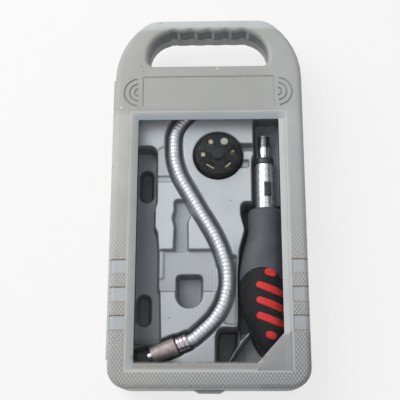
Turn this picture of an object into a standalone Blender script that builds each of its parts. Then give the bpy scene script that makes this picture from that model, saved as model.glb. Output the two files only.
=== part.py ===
"""Ratchet driver kit with a flexible shaft, in its carry case with a clear window.

Metres, +Z up. The case lies on its back with the lid shut: the window looks up (+Z), the carrying
handle is at +Y, the hinge along the -X side and the latch on the +X side. The pieces are placed in the
case's own coordinates (x from its centre line, y from the window's centre), and the empty case_frame
carries them so that the origin is under the middle of the closed case.
"""

import math

import bmesh
import bpy
from mathutils import Matrix, Vector
from mathutils.geometry import delaunay_2d_cdt

MM = 0.001
PART_GAP = 0.3 * MM            # between pieces that seat on each other
RUNNING_GAP = 0.35 * MM        # round a turning piece

# ---- Case -------------------------------------------------------------------------------------------
CASE_WIDTH = 167.6 * MM
CASE_TOP_Y = 204.0 * MM
CASE_BOTTOM_Y = -127.0 * MM
PARTING_Z = 30.0 * MM
CASE_WALL = 4.0 * MM
CASE_FLOOR = 2.5 * MM
CASE_EDGE_RADIUS = 5.0 * MM
CASE_CORNER_RADIUS = 17.0 * MM
SHOULDER_RADIUS = 67.0 * MM
SHOULDER_DROP = 25.9 * MM      # the shoulder's corner below the top edge
TOP_FLAT_WIDTH = 106.0 * MM
TOP_CORNER_RADIUS = 23.0 * MM
BODY_TOP_Y = 151.0 * MM        # where the deep tub ends and the thin handle begins
BODY_CORNER_RADIUS = 9.0 * MM
HANDLE_FLOOR_Z = 16.0 * MM

OPENING_WIDTH = 108.6 * MM
OPENING_BOTTOM_Y = 157.6 * MM
OPENING_TOP_Y = 192.2 * MM
OPENING_TOP_RADIUS = 24.0 * MM
OPENING_BOTTOM_RADIUS = 6.0 * MM
OPENING_EDGE_RADIUS = 3.2 * MM
FINGER_RECESSES = 5
FINGER_RECESS_WIDTH = 7.4 * MM
FINGER_RECESS_PITCH = 15.9 * MM
FINGER_RECESS_DEPTH = 1.2 * MM

STAND_LUG_WIDTH = 27.5 * MM
STAND_LUG_TIP_WIDTH = 18.0 * MM
STAND_LUG_REACH = 2.6 * MM
STAND_LUG_LOW_Z = 10.0 * MM
STAND_LUG_HIGH_Z = 27.0 * MM

# ---- Window -----------------------------------------------------------------------------------------
WINDOW_WIDTH = 124.4 * MM
WINDOW_HEIGHT = 213.0 * MM
WINDOW_CHAMFER_X = 22.3 * MM
WINDOW_CHAMFER_Y = 24.5 * MM
WINDOW_CORNER_RADIUS = 1.0 * MM
FRAME_BEVEL_WIDTH = 6.2 * MM
FRAME_BEVEL_DEPTH = 2.8 * MM
LID_TOP_THICKNESS = 3.5 * MM
CORNER_PANEL_DEPTH = 1.0 * MM
PANE_THICKNESS = 1.8 * MM
PANE_BORDER = 5.0 * MM
PLATE_WIDTH = 117.0 * MM
PLATE_HEIGHT = 29.0 * MM
PLATE_CENTRE_Y = 132.4 * MM
PLATE_DEPTH = 0.5 * MM

# ---- Hinge and latch --------------------------------------------------------------------------------
HINGE_OFFSET = 1.0 * MM         # the pin's axis outside the case's left side
HINGE_KNUCKLE_RADIUS = 2.2 * MM
HINGE_BORE_RADIUS = 1.25 * MM
HINGE_PIN_RADIUS = 0.9 * MM
HINGE_TOP_Y = 151.0 * MM
HINGE_BOTTOM_Y = -103.0 * MM
HINGE_KNUCKLES = 9
HINGE_KNUCKLE_GAP = 0.6 * MM

LATCH_BOTTOM_Y = 22.0 * MM
LATCH_TOP_Y = 77.0 * MM
LATCH_THICKNESS = 2.6 * MM
LATCH_LOW_Z = 9.3 * MM
LATCH_HIGH_Z = 40.0 * MM
LATCH_PIVOT_Z = 11.2 * MM
LATCH_PIN_RADIUS = 0.8 * MM
LATCH_PIN_LENGTH = 2.0 * MM
LATCH_SINK = 0.2 * MM          # the latch's face below the case's side

# ---- Tool tray --------------------------------------------------------------------------------------
TRAY_TOP_Z = 32.0 * MM
TRAY_SIDE_GAP = 0.5 * MM
TRAY_SKIN = 2.0 * MM
CHANNEL_HALF_WIDTH = 7.4 * MM
CHANNEL_FLOOR_Z = 23.0 * MM
SOCKET_RECESS_Z = 19.8 * MM
LONG_POCKET_Z = 14.0 * MM
LONG_POCKET_EDGE_X = 66.0 * MM  # left of the middle
HANDLE_ROOM_EDGE_X = 69.4 * MM  # right of the middle
OBROUND_Z = 6.0 * MM

# ---- Driver -----------------------------------------------------------------------------------------
DRIVER_X = 50.0 * MM
GRIP_HALF_HEIGHT = 18.0 * MM    # at its thickest; the case's depth follows from it
GRIP_UNDER = 2.5 * MM          # from the case's floor to the grip's underside
PAD_HEADROOM = 0.5 * MM        # between the grip's pads and the pane
NOSE_TIP_Y = 96.7 * MM
NOSE_LENGTH = 21.2 * MM
NOSE_RADIUS = 5.35 * MM
NOSE_HEX = 6.6 * MM
NOSE_HEX_DEPTH = 11.0 * MM
RING_LENGTH = 5.4 * MM
RING_RADIUS = 8.6 * MM
BARREL_RADIUS = 8.1 * MM
BARREL_WALL = 1.5 * MM
BARREL_TAIL = 13.0 * MM
SPINDLE_RADIUS = 2.6 * MM
SPINDLE_SEAT = 4.0 * MM        # how far it enters the nose
MAGNET_LENGTH = 2.0 * MM
GEAR_RADIUS = 4.6 * MM
GEAR_ROOT_RADIUS = 3.9 * MM
GEAR_TEETH = 18
GEAR_LENGTH = 9.0 * MM
PAWL_LENGTH = 5.0 * MM
PAWL_THICKNESS = 1.2 * MM
SELECTOR_LENGTH = 12.6 * MM
SELECTOR_WIDTH = 6.0 * MM
SELECTOR_HEIGHT = 2.4 * MM
SELECTOR_STEM_WIDTH = 3.0 * MM
SELECTOR_STROKE = 2.0 * MM
SELECTOR_Y = 45.9 * MM
SELECTOR_TURN = math.radians(13)
SELECTOR_NOTCHES = 4
GRIP_THICKNESS = 2.0 * MM
GRIP_STEP = 0.7 * MM           # groove between the hard body and the rubber
GRIP_DOME_X = 44.5 * MM
GRIP_DOME_Y = -47.5 * MM
GRIP_DOME_RADIUS = 21.0 * MM
PAD_THICKNESS = 0.9 * MM
PAD_WIDTH = 6.2 * MM
HANDLE_SIDES = 28

# Handle stations: y, left edge x and right edge x in millimetres, height as a share of the thickest
HANDLE_STATIONS = (
    (28.4, 37.0, 63.0, 0.72),
    (26.0, 34.9, 65.1, 0.82),
    (18.0, 34.3, 65.7, 0.85),
    (8.0, 34.3, 65.7, 0.86),
    (-8.0, 30.0, 66.0, 0.92),
    (-22.0, 27.2, 66.3, 0.98),
    (-38.0, 26.3, 66.4, 1.0),
    (-52.0, 26.8, 66.4, 1.0),
    (-66.0, 30.0, 66.2, 0.98),
    (-79.0, 35.6, 65.6, 0.9),
    (-88.0, 40.0, 64.0, 0.76),
    (-95.0, 45.0, 61.0, 0.53),
    (-99.0, 49.5, 56.5, 0.28),
)

# Red pads on the grip: centre x and y, length, slant in degrees
GRIP_PADS = (
    (52.2, -30.8, 10.2, -16.0),
    (52.3, -44.7, 26.0, -20.5),
    (52.3, -57.6, 26.0, -20.5),
    (52.3, -70.6, 26.0, -20.5),
    (52.0, -83.4, 9.6, -18.0),
)

# ---- Flexible shaft ---------------------------------------------------------------------------------
SHAFT_Z = 28.0 * MM
HOSE_CREST_RADIUS = 4.6 * MM
HOSE_ROOT_RADIUS = 4.1 * MM
HOSE_BORE_RADIUS = 2.9 * MM
HOSE_RIB_PITCH = 3.45 * MM
HOSE_LEAD = 4.6 * MM           # straight before each mouth
HOSE_SEATED = 6.0 * MM         # inside each ferrule
CORE_RADIUS = 2.3 * MM
SHAFT_END_TURN = math.radians(22)       # slope of the output end, down to the left
OUTPUT_MOUTH = (-18.3, -87.0)           # millimetres, where the hose enters its lower ferrule
INPUT_MOUTH = (22.0, 130.0)             # and its upper one
FERRULE_LENGTH = 9.4 * MM
FERRULE_RADIUS = 5.9 * MM
COLLAR_NECK_LENGTH = 0.6 * MM
COLLAR_NECK_RADIUS = 4.9 * MM
COLLAR_LENGTH = 22.0 * MM
COLLAR_REAR_RADIUS = 7.2 * MM
COLLAR_FRONT_RADIUS = 6.2 * MM
BUSH_RADIUS = 4.3 * MM
BUSH_PROUD = 3.2 * MM
BUSH_SEAT = 14.0 * MM
HEX_ACROSS_FLATS = 6.35 * MM
SHANK_LENGTH = 25.0 * MM

# Centre line of the shaft between its two mouths, x and y in millimetres
SHAFT_ROUTE = (
    (-3.0, -75.6), (4.9, -67.2), (11.6, -56.0), (15.2, -43.2), (15.8, -31.5),
    (14.3, -20.3), (10.6, -8.4), (5.0, 4.2), (-1.0, 15.0), (-7.6, 25.9), (-14.2, 37.8),
    (-20.1, 48.0), (-25.9, 59.2), (-30.1, 72.4), (-31.3, 85.8), (-30.4, 99.0), (-25.2, 109.0),
    (-16.0, 118.2), (-5.0, 125.0), (8.0, 129.2),
)

# ---- Bit puck ---------------------------------------------------------------------------------------
PUCK_X = 8.5 * MM
PUCK_Y = 77.2 * MM
PUCK_FLOOR_Z = 8.0 * MM
PUCK_RADIUS = 20.4 * MM
PUCK_HEIGHT = 27.4 * MM
PUCK_BASE = 2.0 * MM
PUCK_COVER_THICKNESS = 1.6 * MM
PUCK_COVER_RIM = 5.0 * MM
PUCK_COVER_WALL = 1.4 * MM
POCKET_CIRCLE_RADIUS = 13.4 * MM
POCKET_RADIUS = 4.15 * MM
COVER_HOLE_RADIUS = 3.8 * MM
PUCK_RIVET_RADIUS = 2.4 * MM
PUCK_RIVET_HEAD = 5.6 * MM
PUCK_RIVET_HEAD_HEIGHT = 1.2 * MM
PUCK_RIVET_DEPTH = 9.0 * MM
BLADE_THICKNESS = 1.2 * MM
CROSS_ARM = 1.5 * MM
BIT_LENGTH = 25.0 * MM
BIT_HEX_LENGTH = 13.0 * MM
EMPTY_POCKET_ANGLE = 66.0
BITS = (                       # node name, tip, place on the circle in degrees, blade width in millimetres
    ("bit_phillips", "cross", 12.0, 5.2),
    ("bit_hex_key", "hex", 119.0, 4.0),
    ("bit_square", "square", 181.0, 3.4),
    ("bit_slotted_large", "blade", 238.0, 7.6),
    ("bit_slotted_small", "blade", 310.0, 6.0),
)

HALF_WIDTH = CASE_WIDTH / 2
HINGE_X = -HALF_WIDTH - HINGE_OFFSET
DRIVER_Z = CASE_FLOOR + GRIP_UNDER + GRIP_HALF_HEIGHT
PANE_LOW_Z = DRIVER_Z + GRIP_HALF_HEIGHT + PAD_THICKNESS + PAD_HEADROOM
CASE_HEIGHT = PANE_LOW_Z + PANE_THICKNESS + PART_GAP + LID_TOP_THICKNESS
SEAM_HALF_GAP = PART_GAP / 2
BASE_RIM_Z = PARTING_Z - SEAM_HALF_GAP
LID_RIM_Z = PARTING_Z + SEAM_HALF_GAP
LID_CEILING_Z = CASE_HEIGHT - LID_TOP_THICKNESS
WINDOW_BOTTOM_Y = -WINDOW_HEIGHT / 2
CUT_PAST = 2.0 * MM            # how far a cutter runs past the face it opens
MIN_FILLET = 0.15 * MM


# =====================================================================================================
# Shared modelling functions
# =====================================================================================================

def clear_scene():
    for item in list(bpy.data.objects):
        bpy.data.objects.remove(item, do_unlink=True)


def material(name, colour, roughness, metallic=0.0, alpha=1.0):
    made = bpy.data.materials.new(name)
    made.use_nodes = True
    shader = made.node_tree.nodes["Principled BSDF"]
    shader.inputs["Base Color"].default_value = (*colour, 1.0)
    shader.inputs["Roughness"].default_value = roughness
    shader.inputs["Metallic"].default_value = metallic
    shader.inputs["Alpha"].default_value = alpha
    made.diffuse_color = (*colour, alpha)
    return made


def add_mesh(name, bm, finish=None, parent=None, sharp_deg=35.0):
    """Turn a bmesh into a smooth-shaded object."""
    bmesh.ops.recalc_face_normals(bm, faces=bm.faces)
    mesh = bpy.data.meshes.new(name)
    bm.to_mesh(mesh)
    bm.free()
    mesh.shade_smooth()
    mesh.set_sharp_from_angle(angle=math.radians(sharp_deg))
    made = bpy.data.objects.new(name, mesh)
    bpy.context.scene.collection.objects.link(made)
    if finish:
        mesh.materials.append(finish)
    made.parent = parent
    return made


def empty(name, location=(0, 0, 0), parent=None):
    made = bpy.data.objects.new(name, None)
    made.location = location
    made.parent = parent
    bpy.context.scene.collection.objects.link(made)
    return made


def boolean(target, tool, operation):
    """Add a Boolean whose tool follows the same parent and stays out of the model."""
    tool.parent = target.parent
    tool.hide_render = True
    tool.display_type = "WIRE"
    change = target.modifiers.new(operation.lower() + "_" + tool.name, "BOOLEAN")
    change.operation = operation
    change.solver = "EXACT"
    change.object = tool


def cut(target, tool):
    boolean(target, tool, "DIFFERENCE")


def join(target, tool):
    boolean(target, tool, "UNION")


def arc_steps(radius, turn):
    """Segments for a fillet: more on a large or a long one."""
    return max(2, round(abs(turn) * math.sqrt(radius / MM) / 1.1))


def rounded_outline(corners, inset=0.0):
    """Anticlockwise outline with filleted corners (x, y, radius), moved inwards by inset."""
    points = []
    for i, (x, y, radius) in enumerate(corners):
        here = Vector((x, y))
        arrive = (here - Vector(corners[i - 1][:2])).normalized()
        leave = (Vector(corners[(i + 1) % len(corners)][:2]) - here).normalized()
        cross = arrive.x * leave.y - arrive.y * leave.x
        dot = arrive.dot(leave)
        turn = math.atan2(cross, dot)
        side = math.copysign(1.0, turn)
        left_in = Vector((-arrive.y, arrive.x))
        left_out = Vector((-leave.y, leave.x))
        corner = here + (left_in + left_out) * (inset / (1.0 + dot))
        fillet = max(radius - side * inset, MIN_FILLET)
        start = corner - arrive * fillet * math.tan(abs(turn) / 2)
        centre = start + left_in * side * fillet
        steps = arc_steps(radius, turn)
        for k in range(steps + 1):
            spoke = Matrix.Rotation(turn * k / steps, 2) @ (start - centre)
            points.append(tuple(centre + spoke))
    return points


def box_corners(x0, x1, y0, y1, radius):
    return [(x0, y0, radius), (x1, y0, radius), (x1, y1, radius), (x0, y1, radius)]


def stack(name, corners, levels, finish=None, parent=None):
    """Loft one filleted outline through (z, inset) levels, bottom to top."""
    bm = bmesh.new()
    rings = []
    for z, inset in levels:
        rings.append([bm.verts.new((x, y, z)) for x, y in rounded_outline(corners, inset)])
    loft(bm, rings)
    return add_mesh(name, bm, finish, parent)


def loft(bm, rings, capped=True):
    """Skin closed rings of as many points each, and cap the two ends."""
    for low, high in zip(rings, rings[1:]):
        for k in range(len(low)):
            j = (k + 1) % len(low)
            bm.faces.new((low[k], low[j], high[j], high[k]))
    if capped:
        bm.faces.new(list(reversed(rings[0])))
        bm.faces.new(rings[-1])


def edge_rounding(face_z, radius, towards, steps=4):
    """(z, inset) levels of a rounded edge that ends on the face at face_z."""
    levels = []
    for k in range(steps + 1):
        angle = math.pi / 2 * k / steps
        levels.append((face_z - towards * radius * (1 - math.sin(angle)), radius * (1 - math.cos(angle))))
    return levels if towards > 0 else list(reversed(levels))


def turned(name, profile, sides, finish=None, parent=None, hollow=False):
    """Revolve (radius, z) points about Z: a solid from axis to axis, or a closed ring if hollow."""
    bm = bmesh.new()
    rings = []
    for radius, z in profile:
        if radius == 0:
            rings.append([bm.verts.new((0, 0, z))])
            continue
        ring = []
        for k in range(sides):
            angle = 2 * math.pi * k / sides
            ring.append(bm.verts.new((radius * math.cos(angle), radius * math.sin(angle), z)))
        rings.append(ring)
    pairs = list(zip(rings, rings[1:]))
    if hollow:
        pairs.append((rings[-1], rings[0]))
    for low, high in pairs:
        for k in range(sides):
            j = (k + 1) % sides
            if len(low) == 1:
                bm.faces.new((low[0], high[j], high[k]))
            elif len(high) == 1:
                bm.faces.new((low[k], low[j], high[0]))
            else:
                bm.faces.new((low[k], low[j], high[j], high[k]))
    if not hollow:
        for ring in (rings[0], rings[-1]):
            if len(ring) > 1:
                bm.faces.new(ring)
    return add_mesh(name, bm, finish, parent)


def rod(name, radius, low, high, sides=16, finish=None, parent=None):
    return turned(name, [(radius, low), (radius, high)], sides, finish, parent)


def prism(name, outline, low, high, finish=None, parent=None):
    bm = bmesh.new()
    rings = [[bm.verts.new((x, y, z)) for x, y in outline] for z in (low, high)]
    loft(bm, rings)
    return add_mesh(name, bm, finish, parent)


def hexagon(across_flats):
    reach = across_flats / math.sqrt(3)
    return [(reach * math.cos(k * math.pi / 3), reach * math.sin(k * math.pi / 3)) for k in range(6)]


def lay_along(thing, point, direction):
    """Stand a piece built along Z on a point, with its axis turned to the direction."""
    thing.rotation_mode = "QUATERNION"
    thing.rotation_quaternion = Vector(direction).to_track_quat("Z", "Y")
    thing.location = point


def smooth_route(points, step):
    """Points at an even step along a smooth curve through the given ones."""
    fine = []
    padded = [2 * points[0] - points[1]] + list(points) + [2 * points[-1] - points[-2]]
    for p0, p1, p2, p3 in zip(padded, padded[1:], padded[2:], padded[3:]):
        for k in range(24):
            t = k / 24
            fine.append(0.5 * (2 * p1 + (p2 - p0) * t + (2 * p0 - 5 * p1 + 4 * p2 - p3) * t ** 2
                               + (3 * p1 - p0 - 3 * p2 + p3) * t ** 3))
    fine.append(points[-1])
    total = sum((b - a).length for a, b in zip(fine, fine[1:]))
    count = max(2, round(total / step))
    spacing = total / count
    even, travelled, goal = [fine[0]], 0.0, spacing
    for a, b in zip(fine, fine[1:]):
        length = (b - a).length
        while travelled + length >= goal - 1e-9 and len(even) < count:
            even.append(a.lerp(b, (goal - travelled) / length))
            goal += spacing
        travelled += length
    even.append(fine[-1])
    return even


def tube(name, points, radii, finish=None, parent=None, resolution=2):
    """A round tube along points, whose radius may change from point to point."""
    curve = bpy.data.curves.new(name, "CURVE")
    curve.dimensions = "3D"
    curve.bevel_depth = 1.0
    curve.bevel_resolution = resolution
    curve.use_fill_caps = True
    spline = curve.splines.new("POLY")
    spline.points.add(len(points) - 1)
    for place, point, radius in zip(spline.points, points, radii):
        place.co = (*point, 1.0)
        place.radius = radius
    holder = bpy.data.objects.new(name + "_curve", curve)
    bpy.context.scene.collection.objects.link(holder)
    mesh = bpy.data.meshes.new_from_object(holder.evaluated_get(bpy.context.evaluated_depsgraph_get()))
    bpy.data.objects.remove(holder, do_unlink=True)
    bm = bmesh.new()
    bm.from_mesh(mesh)
    bmesh.ops.remove_doubles(bm, verts=bm.verts, dist=0.01 * MM)
    return add_mesh(name, bm, finish, parent)


def turns_left(outline):
    return sum(a[0] * b[1] - b[0] * a[1] for a, b in zip(outline, outline[1:] + outline[:1])) > 0


def relief(name, outer, top_z, bottom_z, top_areas, bottom_areas, finish=None, parent=None):
    """One moulding whose faces step between flat areas; a later area covers an earlier one."""
    outlines = [outer] + [area for area, z in top_areas] + [area for area, z in bottom_areas]
    outlines = [list(outline) if turns_left(outline) else list(reversed(outline)) for outline in outlines]
    flat, loops = [], []
    for outline in outlines:
        loops.append(list(range(len(flat), len(flat) + len(outline))))
        flat.extend(Vector(point) for point in outline)
    places, _, cells, _, _, owners = delaunay_2d_cdt(flat, [], loops, 1, 0.001 * MM)
    upper, lower = [], []
    for owner in owners:
        z_up, z_low = top_z, bottom_z
        for index in sorted(owner):
            if 1 <= index <= len(top_areas):
                z_up = top_areas[index - 1][1]
            elif index > len(top_areas):
                z_low = bottom_areas[index - 1 - len(top_areas)][1]
        upper.append(z_up)
        lower.append(z_low)
    levels = [set() for _ in places]
    sides = {}
    for cell, z_up, z_low in zip(cells, upper, lower):
        for k, start in enumerate(cell):
            levels[start].update((z_up, z_low))
            sides[(start, cell[(k + 1) % len(cell)])] = (z_up, z_low)
    bm = bmesh.new()
    made = {}

    def vertex(place, z):
        if (place, z) not in made:
            made[(place, z)] = bm.verts.new((*places[place], z))
        return made[(place, z)]

    def wall(start, end, high, low):
        down = [vertex(start, z) for z in sorted(levels[start], reverse=True) if low <= z <= high]
        up = [vertex(end, z) for z in sorted(levels[end]) if low <= z <= high]
        bm.faces.new(down + up)

    for cell, z_up, z_low in zip(cells, upper, lower):
        bm.faces.new([vertex(place, z_up) for place in cell])
        bm.faces.new([vertex(place, z_low) for place in reversed(cell)])
    for (start, end), (z_up, z_low) in sides.items():
        across = sides.get((end, start))
        if across is None:
            wall(start, end, z_up, z_low)
            continue
        if across[0] < z_up:
            wall(start, end, z_up, across[0])
        if across[1] > z_low:
            wall(start, end, across[1], z_low)
    bmesh.ops.dissolve_limit(bm, angle_limit=math.radians(0.5), verts=bm.verts, edges=bm.edges)
    return add_mesh(name, bm, finish, parent)


def strip_outline(points, half_width):
    """Outline of a band of even width along a route."""
    left, right = [], []
    for k, point in enumerate(points):
        along = (points[min(k + 1, len(points) - 1)] - points[max(k - 1, 0)]).normalized()
        across = Vector((-along.y, along.x)) * half_width
        left.append(tuple(point + across))
        right.append(tuple(point - across))
    return right + list(reversed(left))


def disc(x, y, radius, steps=24):
    return [(x + radius * math.cos(2 * math.pi * k / steps), y + radius * math.sin(2 * math.pi * k / steps))
            for k in range(steps)]


def mm_corners(*corners):
    return [(x * MM, y * MM, radius * MM) for x, y, radius in corners]


def box_tool(name, low, high, parent=None):
    return prism(name, [(low[0], low[1]), (high[0], low[1]), (high[0], high[1]), (low[0], high[1])],
                 low[2], high[2], parent=parent)


# =====================================================================================================
# Case
# =====================================================================================================

def case_corners():
    shoulder_y = CASE_TOP_Y - SHOULDER_DROP
    top_x = TOP_FLAT_WIDTH / 2
    return [
        (-HALF_WIDTH, CASE_BOTTOM_Y, CASE_CORNER_RADIUS), (HALF_WIDTH, CASE_BOTTOM_Y, CASE_CORNER_RADIUS),
        (HALF_WIDTH, shoulder_y, SHOULDER_RADIUS), (top_x, CASE_TOP_Y, TOP_CORNER_RADIUS),
        (-top_x, CASE_TOP_Y, TOP_CORNER_RADIUS), (-HALF_WIDTH, shoulder_y, SHOULDER_RADIUS),
    ]


def tub_corners():
    return [
        (-HALF_WIDTH, CASE_BOTTOM_Y, CASE_CORNER_RADIUS), (HALF_WIDTH, CASE_BOTTOM_Y, CASE_CORNER_RADIUS),
        (HALF_WIDTH, BODY_TOP_Y, BODY_CORNER_RADIUS), (-HALF_WIDTH, BODY_TOP_Y, BODY_CORNER_RADIUS),
    ]


def opening_tool(name):
    """Cutter for the carrying handle's opening, flared to round its rims."""
    side = OPENING_WIDTH / 2
    corners = [
        (-side, OPENING_BOTTOM_Y, OPENING_BOTTOM_RADIUS), (side, OPENING_BOTTOM_Y, OPENING_BOTTOM_RADIUS),
        (side, OPENING_TOP_Y, OPENING_TOP_RADIUS), (-side, OPENING_TOP_Y, OPENING_TOP_RADIUS),
    ]
    back = [(z, -inset) for z, inset in edge_rounding(HANDLE_FLOOR_Z, OPENING_EDGE_RADIUS, -1, 3)]
    front = [(z, -inset) for z, inset in edge_rounding(CASE_HEIGHT, OPENING_EDGE_RADIUS, 1, 3)]
    ends = [(HANDLE_FLOOR_Z - CUT_PAST, -OPENING_EDGE_RADIUS), (CASE_HEIGHT + CUT_PAST, -OPENING_EDGE_RADIUS)]
    return stack(name, corners, [ends[0]] + back + front + [ends[1]])


def finger_recess_tool(name):
    bm = bmesh.new()
    for k in range(FINGER_RECESSES):
        middle = (k - (FINGER_RECESSES - 1) / 2) * FINGER_RECESS_PITCH
        half = FINGER_RECESS_WIDTH / 2
        corners = box_corners(middle - half, middle + half, OPENING_TOP_Y - 2 * FINGER_RECESS_DEPTH,
                              OPENING_TOP_Y + FINGER_RECESS_DEPTH, MM)
        outline = rounded_outline(corners)
        rings = [[bm.verts.new((x, y, z)) for x, y in outline]
                 for z in (HANDLE_FLOOR_Z - CUT_PAST, CASE_HEIGHT + CUT_PAST)]
        loft(bm, rings)
    return add_mesh(name, bm)


def knuckle_spans(first):
    """Low and high y of every other knuckle."""
    pitch = (HINGE_TOP_Y - HINGE_BOTTOM_Y) / HINGE_KNUCKLES
    trim = HINGE_KNUCKLE_GAP / 2
    starts = [HINGE_BOTTOM_Y + k * pitch for k in range(first, HINGE_KNUCKLES, 2)]
    return [(start + trim, start + pitch - trim) for start in starts]


def hinge_cylinders(name, spans, radius, extra=0.0):
    """Cylinders on the hinge's axis, one for each span of y."""
    bm = bmesh.new()
    sides = 12
    for low, high in spans:
        rings = []
        for y in (low - extra, high + extra):
            rings.append([bm.verts.new((HINGE_X + radius * math.cos(2 * math.pi * k / sides), y,
                                        PARTING_Z + radius * math.sin(2 * math.pi * k / sides)))
                          for k in range(sides)])
        loft(bm, rings)
    return add_mesh(name, bm)


def add_knuckles(shell, own_first, other_first):
    """Give a half of the case its knuckles, and clear it round the other half's."""
    cut(shell, hinge_cylinders(shell.name + "_hinge_room", knuckle_spans(other_first),
                               HINGE_KNUCKLE_RADIUS + RUNNING_GAP, HINGE_KNUCKLE_GAP / 2))
    join(shell, hinge_cylinders(shell.name + "_knuckles", knuckle_spans(own_first), HINGE_KNUCKLE_RADIUS))
    cut(shell, hinge_cylinders(shell.name + "_hinge_bore", [(HINGE_BOTTOM_Y, HINGE_TOP_Y)],
                               HINGE_BORE_RADIUS, CUT_PAST))


def latch_pivot_x():
    return HALF_WIDTH - LATCH_SINK - LATCH_THICKNESS / 2


def cut_latch_room(shell):
    inner_x = latch_pivot_x() - LATCH_THICKNESS / 2 - RUNNING_GAP
    cut(shell, box_tool(shell.name + "_latch_room",
                        (inner_x, LATCH_BOTTOM_Y - RUNNING_GAP, LATCH_LOW_Z - RUNNING_GAP),
                        (HALF_WIDTH + CUT_PAST, LATCH_TOP_Y + RUNNING_GAP, LATCH_HIGH_Z + RUNNING_GAP)))


def make_base_shell(finish, parent):
    shell = stack("base_shell", tub_corners(),
                  edge_rounding(0.0, CASE_EDGE_RADIUS, -1) + [(BASE_RIM_Z, 0.0)], finish, parent)
    overlap_y = BODY_TOP_Y - 25 * MM
    grip_corners = [(-HALF_WIDTH, overlap_y, CASE_EDGE_RADIUS), (HALF_WIDTH, overlap_y, CASE_EDGE_RADIUS)]
    join(shell, stack("base_handle", grip_corners + case_corners()[2:],
                      edge_rounding(HANDLE_FLOOR_Z, CASE_EDGE_RADIUS, -1) + [(BASE_RIM_Z, 0.0)]))
    foot, tip = STAND_LUG_WIDTH / 2, STAND_LUG_TIP_WIDTH / 2
    root_y, tip_y = CASE_BOTTOM_Y + CASE_WALL / 2, CASE_BOTTOM_Y - STAND_LUG_REACH
    lug = [(-foot, root_y, MM), (-foot, CASE_BOTTOM_Y, MM), (-tip, tip_y, MM),
           (tip, tip_y, MM), (foot, CASE_BOTTOM_Y, MM), (foot, root_y, MM)]
    join(shell, stack("base_lug", lug, [(STAND_LUG_LOW_Z, 0.75 * MM), (STAND_LUG_LOW_Z + MM, 0.0),
                                        (STAND_LUG_HIGH_Z - MM, 0.0), (STAND_LUG_HIGH_Z, 0.75 * MM)]))
    cut(shell, stack("base_cavity", tub_corners(),
                     [(CASE_FLOOR, CASE_WALL), (PARTING_Z + CUT_PAST, CASE_WALL)]))
    cut(shell, opening_tool("base_opening"))
    cut(shell, finger_recess_tool("base_finger_recesses"))
    add_knuckles(shell, 0, 1)
    cut_latch_room(shell)
    pin_reach = LATCH_PIN_LENGTH + RUNNING_GAP
    pin_room = rod("base_latch_sockets", LATCH_PIN_RADIUS + RUNNING_GAP, LATCH_BOTTOM_Y - pin_reach,
                   LATCH_TOP_Y + pin_reach, 12)
    cut(shell, pin_room)
    lay_along(pin_room, (latch_pivot_x(), 0, LATCH_PIVOT_Z), (0, 1, 0))
    return shell


def window_corners():
    side = WINDOW_WIDTH / 2
    top = WINDOW_HEIGHT / 2
    return [
        (-side, -top, WINDOW_CORNER_RADIUS), (side - WINDOW_CHAMFER_X, -top, WINDOW_CORNER_RADIUS),
        (side, -top + WINDOW_CHAMFER_Y, WINDOW_CORNER_RADIUS), (side, top, WINDOW_CORNER_RADIUS),
        (-side, top, WINDOW_CORNER_RADIUS),
    ]


def corner_panel_outline():
    """The flat triangle outside the window's cut corner."""
    sunk = FRAME_BEVEL_WIDTH * (1 - CORNER_PANEL_DEPTH / FRAME_BEVEL_DEPTH)
    along = Vector((WINDOW_CHAMFER_X, WINDOW_CHAMFER_Y)).normalized()
    outward = Vector((along.y, -along.x))
    on_line = Vector((WINDOW_WIDTH / 2, WINDOW_BOTTOM_Y + WINDOW_CHAMFER_Y)) + outward * sunk
    corner = Vector((WINDOW_WIDTH / 2 + FRAME_BEVEL_WIDTH, WINDOW_BOTTOM_Y - FRAME_BEVEL_WIDTH))
    side_point = on_line + along * ((corner.x - on_line.x) / along.x)
    foot_point = on_line + along * ((corner.y - on_line.y) / along.y)
    return [tuple(foot_point), tuple(corner), tuple(side_point)]


def make_lid_shell(finish, parent):
    shell = stack("lid_shell", case_corners(),
                  [(LID_RIM_Z, 0.0)] + edge_rounding(CASE_HEIGHT, CASE_EDGE_RADIUS, 1), finish, parent)
    cut(shell, stack("lid_cavity", tub_corners(),
                     [(PARTING_Z - CUT_PAST, CASE_WALL), (LID_CEILING_Z - 1.5 * MM, CASE_WALL),
                      (LID_CEILING_Z, CASE_WALL + 1.5 * MM)]))
    bevel_z = CASE_HEIGHT - FRAME_BEVEL_DEPTH
    cut(shell, stack("lid_window", window_corners(),
                     [(LID_CEILING_Z - CUT_PAST, 0.0), (bevel_z, 0.0), (CASE_HEIGHT, -FRAME_BEVEL_WIDTH),
                      (CASE_HEIGHT + CUT_PAST, -FRAME_BEVEL_WIDTH)]))
    cut(shell, prism("lid_corner_panel", corner_panel_outline(), CASE_HEIGHT - CORNER_PANEL_DEPTH,
                     CASE_HEIGHT + CUT_PAST))
    half_plate = PLATE_WIDTH / 2
    cut(shell, stack("lid_plate_recess",
                     box_corners(-half_plate, half_plate, PLATE_CENTRE_Y - PLATE_HEIGHT / 2,
                                 PLATE_CENTRE_Y + PLATE_HEIGHT / 2, MM),
                     [(CASE_HEIGHT - PLATE_DEPTH, 0.0), (CASE_HEIGHT + CUT_PAST, 0.0)]))
    cut(shell, opening_tool("lid_opening"))
    cut(shell, finger_recess_tool("lid_finger_recesses"))
    add_knuckles(shell, 1, 0)
    cut_latch_room(shell)
    return shell


def make_window_pane(finish, parent):
    high = LID_CEILING_Z - PART_GAP
    return stack("window_pane", window_corners(),
                 [(high - PANE_THICKNESS, -PANE_BORDER), (high, -PANE_BORDER)], finish, parent)


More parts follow.
